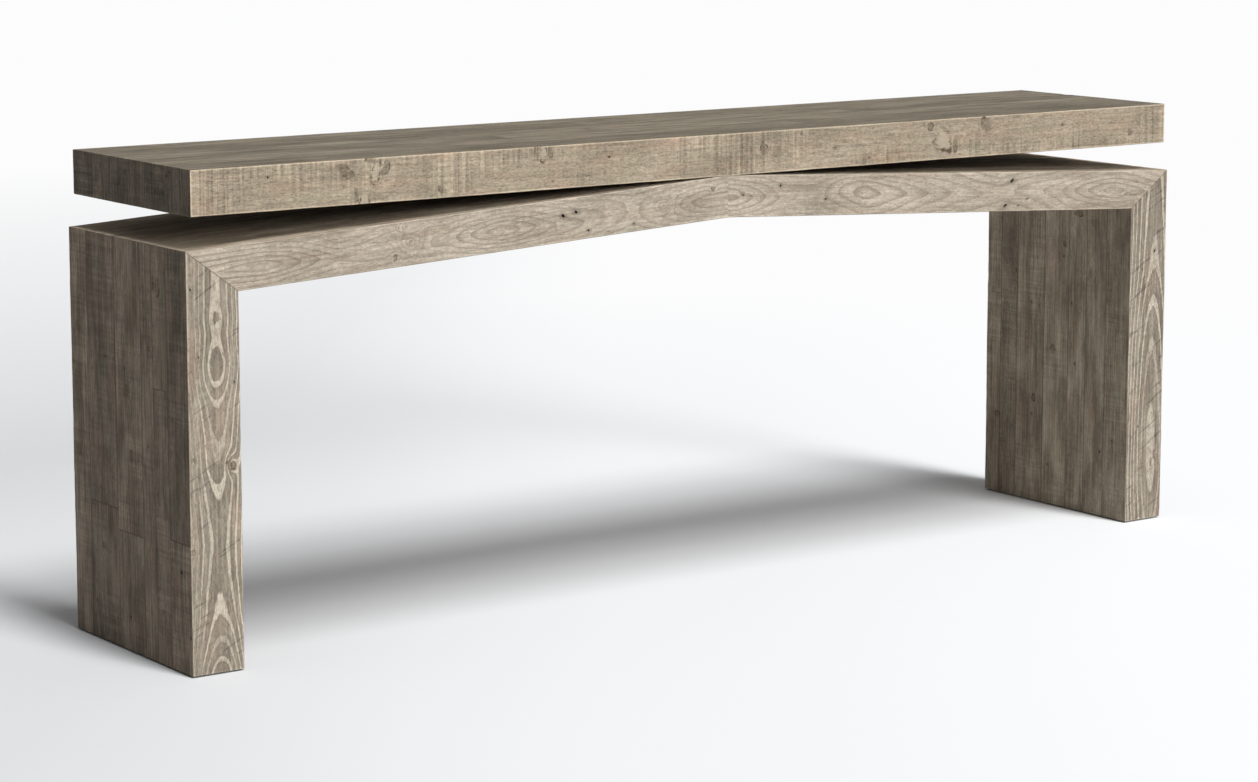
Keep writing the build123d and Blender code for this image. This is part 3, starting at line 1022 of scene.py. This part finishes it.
# %% Pine, birch, zinc, brass and nylon
def plain(name, dark, light, scale, rough, metal, bump=0.1 * MM, bands=0.0):
    """A finish for a small or hidden part, on Object coordinates. bands is layers per metre."""
    finish = Finish(name)
    place = add_node(finish.tree, "ShaderNodeTexCoord").outputs["Object"]
    mottle = finish.noise(place, scale, 3.0, 0.6)
    fine = finish.noise(place, tuple(4 * s for s in scale), 2.0, 0.5, (2, 2, 2))
    colour = finish.ramp(mottle, [(0.35, dark), (0.65, light)])
    if bands:
        slope = add_node(finish.tree, "ShaderNodeSeparateXYZ", place)
        layer = finish.math("FRACT", finish.math("MULTIPLY", slope.outputs[2], bands))
        colour = finish.mix(finish.window(layer, 0.45, 0.55, 0.0, 0.35), colour, dark)
    roughness = finish.window(fine, 0.3, 0.7, rough - 0.08, rough + 0.08)
    finish.shader.inputs["Metallic"].default_value = metal
    return finish.done(colour, roughness, fine, bump, 0.4)


INSIDE_ROWS = [  # slot, material, dark, light, pattern scale, roughness, metal, layers per metre
    ("inner_pine", "fresh_inner_pine", (176, 142, 96), (216, 186, 138), (160, 18, 160), 0.7, 0, 0.0),
    ("birch_ply", "layered_birch", (168, 128, 84), (220, 194, 152), (90, 14, 90), 0.6, 0, 700),
    ("zinc_steel", "dull_zinc", (132, 136, 138), (176, 180, 182), (900, 900, 900), 0.4, 1, 0.0),
    ("brass", "turned_brass", (150, 118, 58), (196, 164, 92), (700, 700, 700), 0.35, 1, 0.0),
    ("nylon", "white_nylon", (206, 204, 198), (228, 226, 220), (300, 300, 300), 0.5, 0, 0.0),
]
inside_finishes = {
    slot: plain(name, linear(*dark), linear(*light), scale, rough, metal, bands=bands)
    for slot, name, dark, light, scale, rough, metal, bands in INSIDE_ROWS
}
print("inside finishes:", sorted(inside_finishes))

# %% [markdown]
# ## Sawing all the boards
#
# Each kind of board has its own short cell. What a maker would note about a board, such as where
# its arches are, its knots, its nail holes and cracks, is written in millimetres on the face as
# one looks at it: sideways first, then up. Boards with no note get a log by chance, from a fixed
# seed, so that every run grows the same trees.

# %% Notes on a board, and a function that makes a piece
class Notes:
    """What is to be seen on a face: knots, nails and cracks, as (sideways, up, ...) in mm."""

    def __init__(self, sideways, upwards, knots=(), nails=(), cracks=(), heart=None, **growth):
        self.sideways, self.upwards = sideways, upwards
        self.knots, self.nails, self.cracks = knots, nails, cracks
        self.heart, self.growth = heart, growth

    def point(self, across, up):
        return (across * self.sideways + up * self.upwards) * MM

    def log(self, face):
        along, across, _ = face
        growth = dict(self.growth)
        steps = growth.pop("dives")
        dives = [(self.point(*self.heart(step)) @ along, deep) for step, deep in steps]
        heart = self.point(*self.heart(steps[0][0])) @ across
        return Log(heart, growth.pop("ring") * MM, dives, self.placed_knots(face), **growth)

    def placed_knots(self, face):
        """Knots as the log wants them. A note may end with how tall a knot is, and how it leans."""
        along, across, _ = face
        placed = []
        for u, v, size, kind, *shape in self.knots:
            spot = self.point(u, v)
            tall, lean = (*shape, 1.0, 0.0)[:2] if len(shape) != 1 else (shape[0], 0.0)
            placed.append((spot @ along, spot @ across, size * MM, kind, tall, lean))
        return placed


def corner_mean(corners):
    return corners[:, :, 0].reshape(-1, 3).mean(axis=0)


def on_board(point, corners, face):
    """Whether a point of the room is over this board's face."""
    for direction in face[:2]:
        reach = corners[:, :, 0].reshape(-1, 3) @ direction
        if not reach.min() + 3 * MM < point @ direction < reach.max() - 3 * MM:
            return False
    return True


NAIL_DEPTH, CRACK_DEPTH = 6 * MM, 5 * MM
STRAY_NAILS = 1.2  # on average, for each board
CRACK_CHANCE = 0.3


def saw_board(corners, face, cells, walls, seed, tone=0.0, notes=None, bores=(), low_limit=None):
    """A finished board from its corners. bores are (middle, radius, depth) in the room."""
    along, across, outward = face
    draw = np.random.default_rng(seed)
    ends = corners[:, :, 0].reshape(-1, 3)
    a_reach, b_reach = ends @ along, ends @ across
    mine = [bore for bore in bores if on_board(bore[0], corners, face)]
    blank = Blank(corners, face, cells, [middle for middle, _, _ in mine])
    for middle, radius, depth in mine:
        cut_hole(blank, middle, radius, depth)
    if notes and notes.heart:
        log = notes.log(face)
    else:
        log = chance_log(draw, b_reach.min(), b_reach.max(), a_reach.min(), a_reach.max())
        if notes:
            log.knots = log.knots[:1] + notes.placed_knots(face)
    depth = corner_mean(corners) @ outward

    def lift(point):
        return point + (depth - point @ outward) * outward

    if notes:
        for u, v, length, width in notes.cracks:
            middle = lift(notes.point(u, v))
            if on_board(middle, corners, face):
                cut_crack(blank, middle, length * MM, width * MM, CRACK_DEPTH)
        for u, v, radius, halo in notes.nails:
            middle = lift(notes.point(u, v))
            if on_board(middle, corners, face):
                cut_hole(blank, middle, radius * MM, NAIL_DEPTH, halo * MM)
    for _ in range(draw.poisson(STRAY_NAILS)):
        spot = draw.uniform(a_reach.min(), a_reach.max()) * along
        spot = spot + draw.uniform(b_reach.min(), b_reach.max()) * across
        if on_board(spot, corners, face):
            cut_hole(blank, lift(spot), draw.uniform(0.8, 1.6) * MM, 4 * MM, 4 * MM)
    if draw.random() < CRACK_CHANCE:
        spot = corner_mean(corners) + draw.uniform(-0.3, 0.3) * (a_reach.max() - a_reach.min()) * along
        cut_crack(blank, spot, draw.uniform(0.05, 0.16), draw.uniform(0.4, 0.9) * MM, 3 * MM)
    return finished(blank, log, walls, seed, tone, low_limit)


made = []


def make_piece(node, boards, finish, seed, saw_depth, saw_pitch=11 * MM):
    """Join boards, plane and saw them with the tree, and let the piece stand for its CAD node."""
    piece = mesh_object(node + "_wood", *join(boards))
    run_tree(
        piece, worn_board, hollow_depth=0.9 * MM, hollow_length=0.16, saw_depth=saw_depth,
        saw_pitch=saw_pitch, seed=float(seed), finish=finish,
    )
    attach(piece, "root")
    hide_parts(node)
    made.append(piece)
    return piece


STAVE_TONE = 1.5  # how far one stave may be darker or paler than the next


def rows(node, face, walls, cells, seed, tones=None, notes=None, bores=(), low_limit=None, whole=False):
    """Boards of a CAD node: staves side by side, each in the lengths that the CAD row has."""
    along, across, outward = face
    corners = corners_of(node, along, across, outward)
    at_ridge = np.abs(corners[..., 2] - slab_under) < NEAR
    if low_limit is not None:
        corners[..., 2][at_ridge] = ridge
    boards = []
    seams = [] if whole else joints(node, across, along, outward)
    for number, stave in enumerate(slices(corners, 1, across, seams)):
        butts = [] if whole or len(seams) else joints(node, along, across, outward)
        for length, part in enumerate(slices(stave, 0, along, butts)):
            own_seed = seed * 100 + number * 10 + length
            tone = np.random.default_rng(own_seed).uniform(-STAVE_TONE, STAVE_TONE)
            if tones:
                tone = tones[(number + length) % len(tones)]
            boards.append(
                saw_board(part, face, cells, walls, own_seed, tone, notes, bores, low_limit)
            )
    return boards


FINE, MEDIUM, COARSE = (3 * MM, 3 * MM), (5 * MM, 5 * MM), (9 * MM, 7 * MM)
print("cells are", [tuple(round(side / MM) for side in cell) for cell in (FINE, MEDIUM, COARSE)], "mm")

# %% [markdown]
# ## The slab
#
# Its face board was sawn straight from an old beam: the blade's marks stand across the grain in
# patches, and its knots tell it apart. The top is six rows of staves, four of them in two lengths.

# %% Saw the slab
slab_notes = Notes(
    RIGHT, UP,
    knots=[
        (-672, 740, 8, "pale", 2.0, -0.25), (-655, 744, 5, "dark", 2.6, -0.3),
        (-682, 759, 7, "dark", 1.0, 0.3),
        (-693, 700, 9, "pale", 1.1), (-707, 706, 4, "dark", 2.0, 0.2), (-730, 746, 9, "dark"),
        (-718, 738, 6, "dark"), (-365, 752, 7, "pale", 2.0), (-352, 750, 4, "dark", 2.6, -0.1),
        (-378, 752, 4, "dark", 2.4, 0.2), (74, 732, 7, "dark", 1.4), (225, 725, 4, "dark"),
        (463, 724, 15, "pale", 1.4, 0.2), (434, 750, 5, "dark", 1.4, 0.5), (490, 716, 4, "dark", 3.4, 0.1),
        (562, 746, 10, "dark", 1.2), (-555, 706, 5, "dark"), (-793, 748, 3, "dark"), (905, 716, 5, "dark"),
    ],
    nails=[(-860, 742, 1.6, 4), (300, 704, 1.5, 4), (741, 738, 1.7, 5), (-240, 738, 1.5, 3)],
    cracks=[(-64, 721, 120, 0.8), (505, 715, 90, 0.9), (-900, 712, 70, 0.7), (300, 727, 80, 0.6)],
    heart=lambda step: (step, 724),
    ring=6,
    dives=[(-1100, 3), (-690, 6), (-300, 4.5), (74, 2.2), (300, 5.5), (720, 3), (1100, 6)],
)
# How pale each stave is: the two lengths of each top row, and the seven staves of an end. The end staves
# are all painted darker: painted shade on the slab's ends.
TOP_TONES = ((-0.9, 0.7), (1.0, -0.4), (-0.3, 1.2), (0.9, -1.1), (-1.0, 0.4), (0.6, -0.5))
END_TONES_PAINTED_SHADE = (-2.8, -2.2, -3.2, -2.6, -3.5, -2.9, -3.1)
BOLT_PLACES = [(x * MM, y * MM) for x in (-20, 20) for y in (-80, 80)]
INSERT_RADIUS = 6 * MM
BORE_DEPTH = 19 * MM  # nearly through a board, so that the blank stays closed
slab_bores = [(np.array((x, y, slab_under)), INSERT_RADIUS, BORE_DEPTH) for x, y in BOLT_PLACES]
front_face, back_face = (RIGHT, UP, FRONT), (RIGHT, UP, BACK)
boards = rows("slab_front_board", front_face, slab_walls, FINE, 11, [0.1], slab_notes, whole=True)
make_piece("slab_front_board", boards, face_slab, 11, 0.35 * MM)
boards = rows("slab_back_board", back_face, slab_walls, FINE, 12, [0.0], whole=True)
make_piece("slab_back_board", boards, face_slab, 12, 0.35 * MM)
for number in range(1, 7):
    node = f"slab_top_stave_{number}"
    tones = TOP_TONES[number - 1]
    boards = rows(node, (RIGHT, BACK, UP), slab_walls, MEDIUM, 20 + number, tones)
    make_piece(node, boards, staves_top, 20 + number, 0.15 * MM)
boards = rows("slab_under_staves", (RIGHT, BACK, -UP), slab_walls, COARSE, 30, bores=slab_bores)
make_piece("slab_under_staves", boards, staves_painted_shade, 30, 0.15 * MM)
for side, name in ((-1, "left"), (1, "right")):
    node = f"slab_{name}_end_staves"
    boards = rows(node, (UP, BACK, side * RIGHT), slab_walls, MEDIUM, 31 + side, END_TONES_PAINTED_SHADE)
    make_piece(node, boards, staves_painted_shade, 31 + side, 0.1 * MM)
print("slab:", len(made), "pieces")

# %% [markdown]
# ## The legs
#
# A leg's face board shows the flat side of a young log: pale arches, a closed oval, and a pale
# tongue near the foot. The wide sides are staves, some dark and some pale, in two lengths here and
# there. The same function dresses both legs, and only the notes differ.

# %% Saw the legs
leg_face_notes = {
    "left": Notes(
        RIGHT, UP,
        knots=[(-929, 317, 6.5, "dark", 1.2), (-995, 190, 4, "dark"), (-990, 330, 3, "dark")],
        nails=[(-915, 505, 1.5, 4), (-921, 442, 1.4, 3)],
        cracks=[(-985, 110, 60, 0.6)],
        heart=lambda step: (-951, step),
        ring=5,
        sway=0.05,
        faded=(-0.99, -0.976),
        dives=[
            (-60, 5.0), (10, 6.6), (20, 7.03), (27, 7.29), (50, 8.03), (60, 8.29), (92, 9.03), (126, 9.29),
            (150, 9.6), (200, 9.85), (240, 9.6), (268, 9.29), (291, 9.03), (318, 8.29), (356, 8.03),
            (408, 7.29), (418, 7.03), (436, 6.29), (442, 6.03), (468, 5.45), (500, 6.04), (512, 6.2),
            (524, 6.08), (540, 5.85), (556, 6.06), (640, 6.1), (700, 6.1),
        ],
    ),
    "right": Notes(
        RIGHT, UP,
        knots=[(985, 120, 3, "dark")],
        nails=[(973, 496, 2.2, 6)],
        cracks=[(930, 300, 110, 0.6)],
        heart=lambda step: (972, step),
        ring=5.5,
        sway=0.05,
        dives=[
            (-60, 8.6), (0, 7.9), (55, 7.29), (100, 7.08), (180, 7.1), (222, 7.29), (312, 8.03),
            (335, 8.29),
            (390, 9.03), (410, 9.29), (462, 10.03), (528, 10.29), (640, 10.9), (700, 11.1),
        ],
    ),
}
leg_side_notes = {
    "left": Notes(
        BACK, UP,
        knots=[
            (171, 295, 8, "dark"), (166, 490, 7, "dark"), (5, 409, 8, "dark"), (87, 152, 6, "dark"),
            (-138, 386, 5, "dark"), (-95, 581, 12, "dark"),
        ],
        nails=[(-161, 156, 2, 6), (40, 560, 1.6, 5), (-60, 330, 1.4, 4), (120, 60, 1.6, 5)],
        cracks=[(5, 370, 70, 1.0), (166, 330, 90, 0.8), (60, 250, 120, 0.7)],
    ),
    "right": Notes(
        BACK, UP,
        knots=[
            (-55, 556, 8, "dark"), (174, 389, 6, "dark"), (8, 297, 6, "dark"), (158, 152, 6, "dark"),
            (59, 197, 5, "dark"),
        ],
        nails=[(-120, 120, 1.6, 5), (-20, 470, 1.5, 4)],
        cracks=[(8, 262, 60, 0.9), (-90, 200, 90, 0.7)],
    ),
}
LEG_TONES = {"left": (0.0,), "right": (-0.6,)}
for side, name in ((-1, "left"), (1, "right")):
    leg_walls, _ = leg_and_rail_walls(side)
    seed = 50 + side * 10
    for face, row in ((FRONT, "front"), (BACK, "back")):
        node = f"{name}_leg_{row}_board"
        notes = leg_face_notes[name] if row == "front" else None
        tones = LEG_TONES[name]
        boards = rows(node, (UP, RIGHT, face), leg_walls, FINE, seed, tones, notes, whole=True)
        make_piece(node, boards, face_legs, seed, 0.12 * MM)
        seed += 1
    for number in range(1, 7):
        node = f"{name}_leg_outer_stave_{number}"
        notes = leg_side_notes["left"] if name == "left" else None  # each leg has one noted side
        boards = rows(node, (UP, BACK, side * RIGHT), leg_walls, MEDIUM, seed, notes=notes)
        make_piece(node, boards, staves_painted_shade, seed, 0.2 * MM)
        seed += 1
    node = f"{name}_leg_inner_staves"
    notes = leg_side_notes["right"] if name == "right" else None
    boards = rows(node, (UP, BACK, -side * RIGHT), leg_walls, MEDIUM, seed, notes=notes)
    make_piece(node, boards, staves_painted_light, seed, 0.2 * MM)
print("with the legs:", len(made), "pieces")

# %% [markdown]
# ## The rails
#
# The rails rise to the ridge. Their face boards show dark, thin rings on a pale ground, wound
# round knots. At the ridge the top is planed flat for the slab, so points that would stand above
# the seat are held down to it. Under the ridge, four round holes take the bolts.

# %% Saw the rails
rail_notes = {
    "left": Notes(
        RIGHT, UP,
        knots=[
            (-612, 627, 10, "swirl"), (-612, 627, 2.5, "dark"), (-629, 650, 4, "pale", 1.3),
            (-640, 606, 4, "dark"), (-31, 674, 3.5, "dark"), (-130, 652, 7, "swirl"),
        ],
        nails=[(-328, 649, 2.6, 7), (-304, 653, 2.4, 7), (-279, 623, 1.8, 5), (-190, 628, 1.2, 4)],
        cracks=[(-250, 640, 70, 0.5), (-760, 622, 60, 0.5)],
        heart=lambda step: (step, 655.5 + step * rail_slope),
        ring=7.5,
        tip=1.6,
        dives=[
            (-1100, 1.5), (-870, 0.4), (-740, 4.2), (-650, 3.0), (-545, 3.4), (-440, 0.4), (-350, 3.0),
            (-190, 6.2), (-45, 1.2), (80, 0.4),
        ],
    ),
    "right": Notes(
        RIGHT, UP,
        knots=[(30, 662, 3, "dark", 1.2), (900, 604, 3, "dark")],
        nails=[
            (624, 647, 3.4, 9), (609, 602, 3.2, 9), (109, 670, 1.8, 5), (658, 610, 1.4, 4),
            (639, 600, 1.4, 3), (206, 641, 1.8, 5), (760, 668, 1.2, 3),
        ],
        cracks=[(500, 625, 80, 0.5)],
        heart=lambda step: (step, 656.5 - step * rail_slope),
        ring=8.5,
        tip=1.6,
        dives=[
            (-80, 0.6), (20, 1.0), (110, 3.8), (190, 4.4), (290, 1.3), (410, 3.8), (600, 6.4), (730, 4.0),
            (867, 0.3), (1000, 3.4),
        ],
    ),
}
FACE_SEEDS = {"front_board": 71, "back_board": 73}  # one beam sawn in two, so the grain runs on
RAIL_TONES = {
    "front_board": (-0.19,),
    "back_board": (-0.19,),
    "top_staves": (4.5, 3.5, 5.0, 4.0),  # painted light: the rail tops, in shade under the slab, are painted paler
}
PLUG_HOLE = 11 * MM  # the counterbore's radius


def rail_under_at(x):
    return corner_under + rail_slope * (leg_inside - abs(x))


plug_bores = [(np.array((x, y, rail_under_at(x))), PLUG_HOLE, BORE_DEPTH) for x, y in BOLT_PLACES]
for side, name in ((-1, "left"), (1, "right")):
    _, rail_walls = leg_and_rail_walls(side)
    along, up = (rail_left_along, rail_left_up) if side < 0 else (rail_right_along, rail_right_up)
    seed = 80 + side * 10
    faces = (
        ("front_board", (along, up, FRONT), face_rails, "weathered_boards", FINE, rail_notes[name]),
        ("back_board", (along, up, BACK), face_rails, "weathered_boards", FINE, None),
        ("top_staves", (along, BACK, up), staves_painted_light, "weathered_staves", MEDIUM, None),
        ("under_staves", (along, BACK, -up), staves_painted_light, "weathered_staves", COARSE, None),
    )
    for part, face, finish, slot, cells, notes in faces:
        node = f"{name}_rail_{part}"
        bores = plug_bores if part == "under_staves" else ()
        seed += 1
        own_seed = FACE_SEEDS.get(part, seed)
        boards = rows(
            node, face, rail_walls, cells, own_seed, RAIL_TONES.get(part), notes, bores,
            low_limit=slab_under, whole=part.endswith("board"),
        )
        make_piece(node, boards, finish, seed, 0.1 * MM)
print("with the rails:", len(made), "pieces")

# %% [markdown]
# ## Plugs and glides, from one tree
#
# The four plugs under the ridge and the four glides under the feet are turned discs, set at given
# places. A second Geometry Nodes tree turns the disc once, chamfers the face that shows, gives it a
# nail if one is asked for, and sets a copy on every point. Each point says which way is up.

# %% The turned-disc tree
SIDES = 48
disc_inputs = [("Radius", "Float"), ("Thickness", "Float"), ("Chamfer", "Float")]
disc_inputs += [("Nail radius", "Float"), ("Nail length", "Float"), ("Finish", "Material")]
turned_disc, group_in, group_out = new_tree("turned_disc", disc_inputs)
inlet = {socket.name: socket for socket in group_in.outputs}


def cylinder(tree, radius, height):
    return add_node(tree, "GeometryNodeMeshCylinder", SIDES, 1, 1, radius, height, fill_type="NGON")


def raised(tree, geometry, height):
    lift = add_node(tree, "ShaderNodeCombineXYZ", 0, 0, height).outputs[0]
    node = add_node(tree, "GeometryNodeTransform", geometry)
    tree.links.new(lift, node.inputs["Translation"])
    return node.outputs[0]


straight = math_node(turned_disc, "SUBTRACT", inlet["Thickness"], inlet["Chamfer"])
body = cylinder(turned_disc, inlet["Radius"], straight)
chamfer = add_node(turned_disc, "GeometryNodeExtrudeMesh", body.outputs["Mesh"])
chamfer.inputs["Individual"].default_value = False
turned_disc.links.new(body.outputs["Bottom"], chamfer.inputs["Selection"])
turned_disc.links.new(inlet["Chamfer"], chamfer.inputs["Offset Scale"])
small = math_node(turned_disc, "SUBTRACT", inlet["Radius"], inlet["Chamfer"])
shrink = add_node(turned_disc, "GeometryNodeScaleElements", chamfer.outputs["Mesh"])
turned_disc.links.new(chamfer.outputs["Top"], shrink.inputs["Selection"])
turned_disc.links.new(math_node(turned_disc, "DIVIDE", small, inlet["Radius"]), shrink.inputs["Scale"])
half_straight = math_node(turned_disc, "MULTIPLY", straight, 0.5)
disc_lift = math_node(turned_disc, "ADD", half_straight, inlet["Chamfer"])
disc = raised(turned_disc, shrink.outputs[0], disc_lift)
nail = cylinder(turned_disc, inlet["Nail radius"], inlet["Nail length"])
half_nail = math_node(turned_disc, "MULTIPLY", inlet["Nail length"], 0.5)
nail = raised(turned_disc, nail.outputs[0], math_node(turned_disc, "ADD", half_nail, inlet["Thickness"]))
both = add_node(turned_disc, "GeometryNodeJoinGeometry")
turned_disc.links.new(nail, both.inputs[0])
turned_disc.links.new(disc, both.inputs[0])
has_nail = math_node(turned_disc, "GREATER_THAN", inlet["Nail length"], 0.0)
choice = add_node(turned_disc, "GeometryNodeSwitch", has_nail, disc, both.outputs[0], input_type="GEOMETRY")
up_way = read_mark(turned_disc, "up", "FLOAT_VECTOR")
turn_to = add_node(turned_disc, "FunctionNodeAlignRotationToVector", None, 1.0, up_way, axis="Z")
copies = add_node(turned_disc, "GeometryNodeInstanceOnPoints", inlet["Geometry"])
turned_disc.links.new(choice.outputs[0], copies.inputs["Instance"])
turned_disc.links.new(turn_to.outputs[0], copies.inputs["Rotation"])
end_tree(turned_disc, copies.outputs[0], inlet["Finish"], group_out)


def discs(node, places, ups, finish, slot, **sizes):
    """Turned discs at places, standing for a CAD node."""
    points = mesh_object(node + "_turned", np.array(places), [], {"up": np.array(ups)})
    run_tree(points, turned_disc, finish=finish, **sizes)
    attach(points, "root")
    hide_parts(node)
    made.append(points)
    print(points.name, "has", len(points.data.polygons), "faces")


# %% Set the plugs and the glides
plug_ups = [rail_left_up if x < 0 else rail_right_up for x, y in BOLT_PLACES]
plug_recess = 0.4 * MM
plug_places = [
    np.array((x, y, rail_under_at(x))) + plug_recess * up for (x, y), up in zip(BOLT_PLACES, plug_ups)
]
plug_finish = plain(
    "turned_plug_pine", linear(88, 78, 64), linear(136, 124, 105), (40, 260, 260), 0.8, 0, bump=0.3 * MM
)
discs(
    "bolt_plugs", plug_places, plug_ups, plug_finish, "weathered_boards",
    radius=PLUG_HOLE - 0.25 * MM, thickness=8 * MM, chamfer=0.5 * MM, nail_radius=1 * MM, nail_length=0.0,
)
glide_radius = 12 * MM
for name in ("left", "right"):
    low, high = (np.array(corner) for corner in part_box(f"{name}_leg_glides"))
    middle_x = (low[0] + high[0]) / 2
    places = [(middle_x, y, low[2]) for y in (low[1] + glide_radius, high[1] - glide_radius)]
    discs(
        f"{name}_leg_glides", places, [UP, UP], inside_finishes["nylon"], "nylon",
        radius=glide_radius, thickness=5 * MM, chamfer=0.8 * MM, nail_radius=1.2 * MM,
        nail_length=high[2] - low[2] - 5 * MM,
    )

# %% Dress the CAD pieces that stay
replaced = {piece.name.rsplit("_", 1)[0] for piece in made}
for node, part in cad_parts.items():
    if node in replaced:
        continue
    for slot in part.material_slots:
        slot.material = inside_finishes[slot.material.name.split(".")[0]]
print(len(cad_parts) - len(replaced), "CAD pieces keep their shapes and get a finish")

# %% [markdown]
# ## Floor and light
#
# The table stands on a pale studio floor that runs out of sight into white. A flat disc does it:
# it is matt near the table, where the shadows fall, and turns by and by into a plain white glow far
# away, where the eye expects the backdrop. Its grey is painted darker to the left, as painted shade,
# and it glows white sooner to the right, as painted light. Four broad lamps light it. Three steep
# ones, at heights a little apart, give the soft band of shadow under the bridge, and a low one from
# the front lights the face boards and lays the long, faint shadow behind.

# %% Floor
STUDIO_WHITE = (0.975, 0.975, 0.98, 1)
floor_radius = 30.0
FLOOR_SIDES = 96
VIEWER_RIGHT = (0.813, -0.583, 0.0)  # along the floor, to the right of someone before the table
floor_ring = [
    (floor_radius * math.cos(turn), floor_radius * math.sin(turn), 0.0)
    for turn in np.linspace(0, 2 * math.pi, FLOOR_SIDES + 1)[:-1]
]
floor_mesh = bpy.data.meshes.new("studio_floor")
floor_mesh.from_pydata(floor_ring, [], [tuple(range(len(floor_ring)))])
floor = bpy.data.objects.new("studio_floor", floor_mesh)
bpy.context.scene.collection.objects.link(floor)
paper = Finish("studio_paper")
paper.shader.inputs["Roughness"].default_value = 0.95
paper.shader.inputs["Specular IOR Level"].default_value = 0.0
where = add_node(paper.tree, "ShaderNodeTexCoord").outputs["Object"]
far = add_node(paper.tree, "ShaderNodeVectorMath", where, operation="LENGTH").outputs["Value"]
rightwards = add_node(
    paper.tree, "ShaderNodeVectorMath", where, VIEWER_RIGHT, operation="DOT_PRODUCT"
).outputs["Value"]
paper_greys_painted_shade = [  # painted shade: darker to the left, where the lamps' light falls away
    (0.0, 0.64), (0.2, 0.65), (0.307, 0.695), (0.377, 0.74), (0.467, 0.775), (0.57, 0.79),
    (0.767, 0.835), (1.0, 0.85),
]
paper_tints = [(place, (grey * 0.985, grey, grey * 1.02)) for place, grey in paper_greys_painted_shade]
tint = paper.ramp(paper.window(rightwards, -1.5, 1.5), paper_tints)
paper.tree.links.new(tint, paper.shader.inputs["Base Color"])
glow = add_node(paper.tree, "ShaderNodeEmission", STUDIO_WHITE, 1.0)
near_white = paper.math("MULTIPLY", paper.window(far, 1.4, 3.4), paper.window(rightwards, -1.1, -0.1))
white = paper.math("MAXIMUM", near_white, paper.window(far, 1.6, 7.0))
# painted light: the paper also glows white to the right of the table
white = paper.math("MAXIMUM", white, paper.window(rightwards, 1.0, 1.5, 0.0, 0.8))
blend = add_node(paper.tree, "ShaderNodeMixShader", white)
paper.tree.links.new(paper.shader.outputs[0], blend.inputs[1])
paper.tree.links.new(glow.outputs[0], blend.inputs[2])
paper.tree.links.new(blend.outputs[0], paper.tree.nodes["Material Output"].inputs["Surface"])
floor_mesh.materials.append(paper.material)
floor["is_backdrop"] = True


# %% Lamps and sky
SKY_LIGHT = 0.23  # soft light from all around, next to the lamps


def sun(name, elevation, from_right, spread, strength):
    """A lamp as far as the sun: its height and its turn to the right of front, in degrees."""
    lamp = bpy.data.lights.new(name, "SUN")
    lamp.energy = strength
    lamp.angle = math.radians(spread)
    holder = bpy.data.objects.new(name, lamp)
    holder.rotation_euler = (math.radians(90 - elevation), 0, math.radians(from_right))
    bpy.context.scene.collection.objects.link(holder)
    return holder


sun("steep_lamp_low", 58, 9, 12, 0.29 * math.pi)
sun("steep_lamp_middle", 67, 9, 12, 0.28 * math.pi)
sun("steep_lamp_high", 76, 9, 12, 0.28 * math.pi)
sun("low_lamp", 19, 8, 20, 0.53 * math.pi)
sky = bpy.data.worlds.new("studio_white")
sky.use_nodes = True
bpy.context.scene.world = sky
lit = sky.node_tree.nodes["Background"]
lit.inputs["Color"].default_value = (1, 1, 1, 1)
lit.inputs["Strength"].default_value = SKY_LIGHT
seen = add_node(sky.node_tree, "ShaderNodeBackground", STUDIO_WHITE, 1.0)
ray = sky.node_tree.nodes.new("ShaderNodeLightPath")
choose = add_node(sky.node_tree, "ShaderNodeMixShader", ray.outputs["Is Camera Ray"])
sky.node_tree.links.new(lit.outputs[0], choose.inputs[1])
sky.node_tree.links.new(seen.outputs[0], choose.inputs[2])
sky.node_tree.links.new(choose.outputs[0], sky.node_tree.nodes["World Output"].inputs["Surface"])
bpy.context.scene.view_settings.view_transform = "Standard"
print("four lamps and a white sky")

# %% [markdown]
# ## Camera
#
# A long lens from the front left, a little above the top, at about the height of a standing
# person's chest. A small shift of the film brings the legs nearer to upright.

# %% Camera
lens = bpy.data.cameras.new("camera")
lens.lens = 95.386
lens.sensor_width = 36
lens.shift_y = -0.08
lens.clip_end = 100
camera = bpy.data.objects.new("camera", lens)
camera.location = (-3.2939, -4.5047, 1.2667)
camera.rotation_euler = (math.radians(90 - 8.012), 0, math.radians(-35.651))
bpy.context.scene.collection.objects.link(camera)
bpy.context.scene.camera = camera

# %% Sizes, and the end
looks_box = [list(corner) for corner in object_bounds()]
growth = np.array(looks_box) - np.array(cad_box)
print("visual box differs from the CAD box by", np.round(growth / MM, 2).tolist(), "mm")
faces = sum(len(polygon.vertices) - 2 for piece in made for polygon in piece.data.polygons)
print(len(made), "pieces with", faces, "triangles")
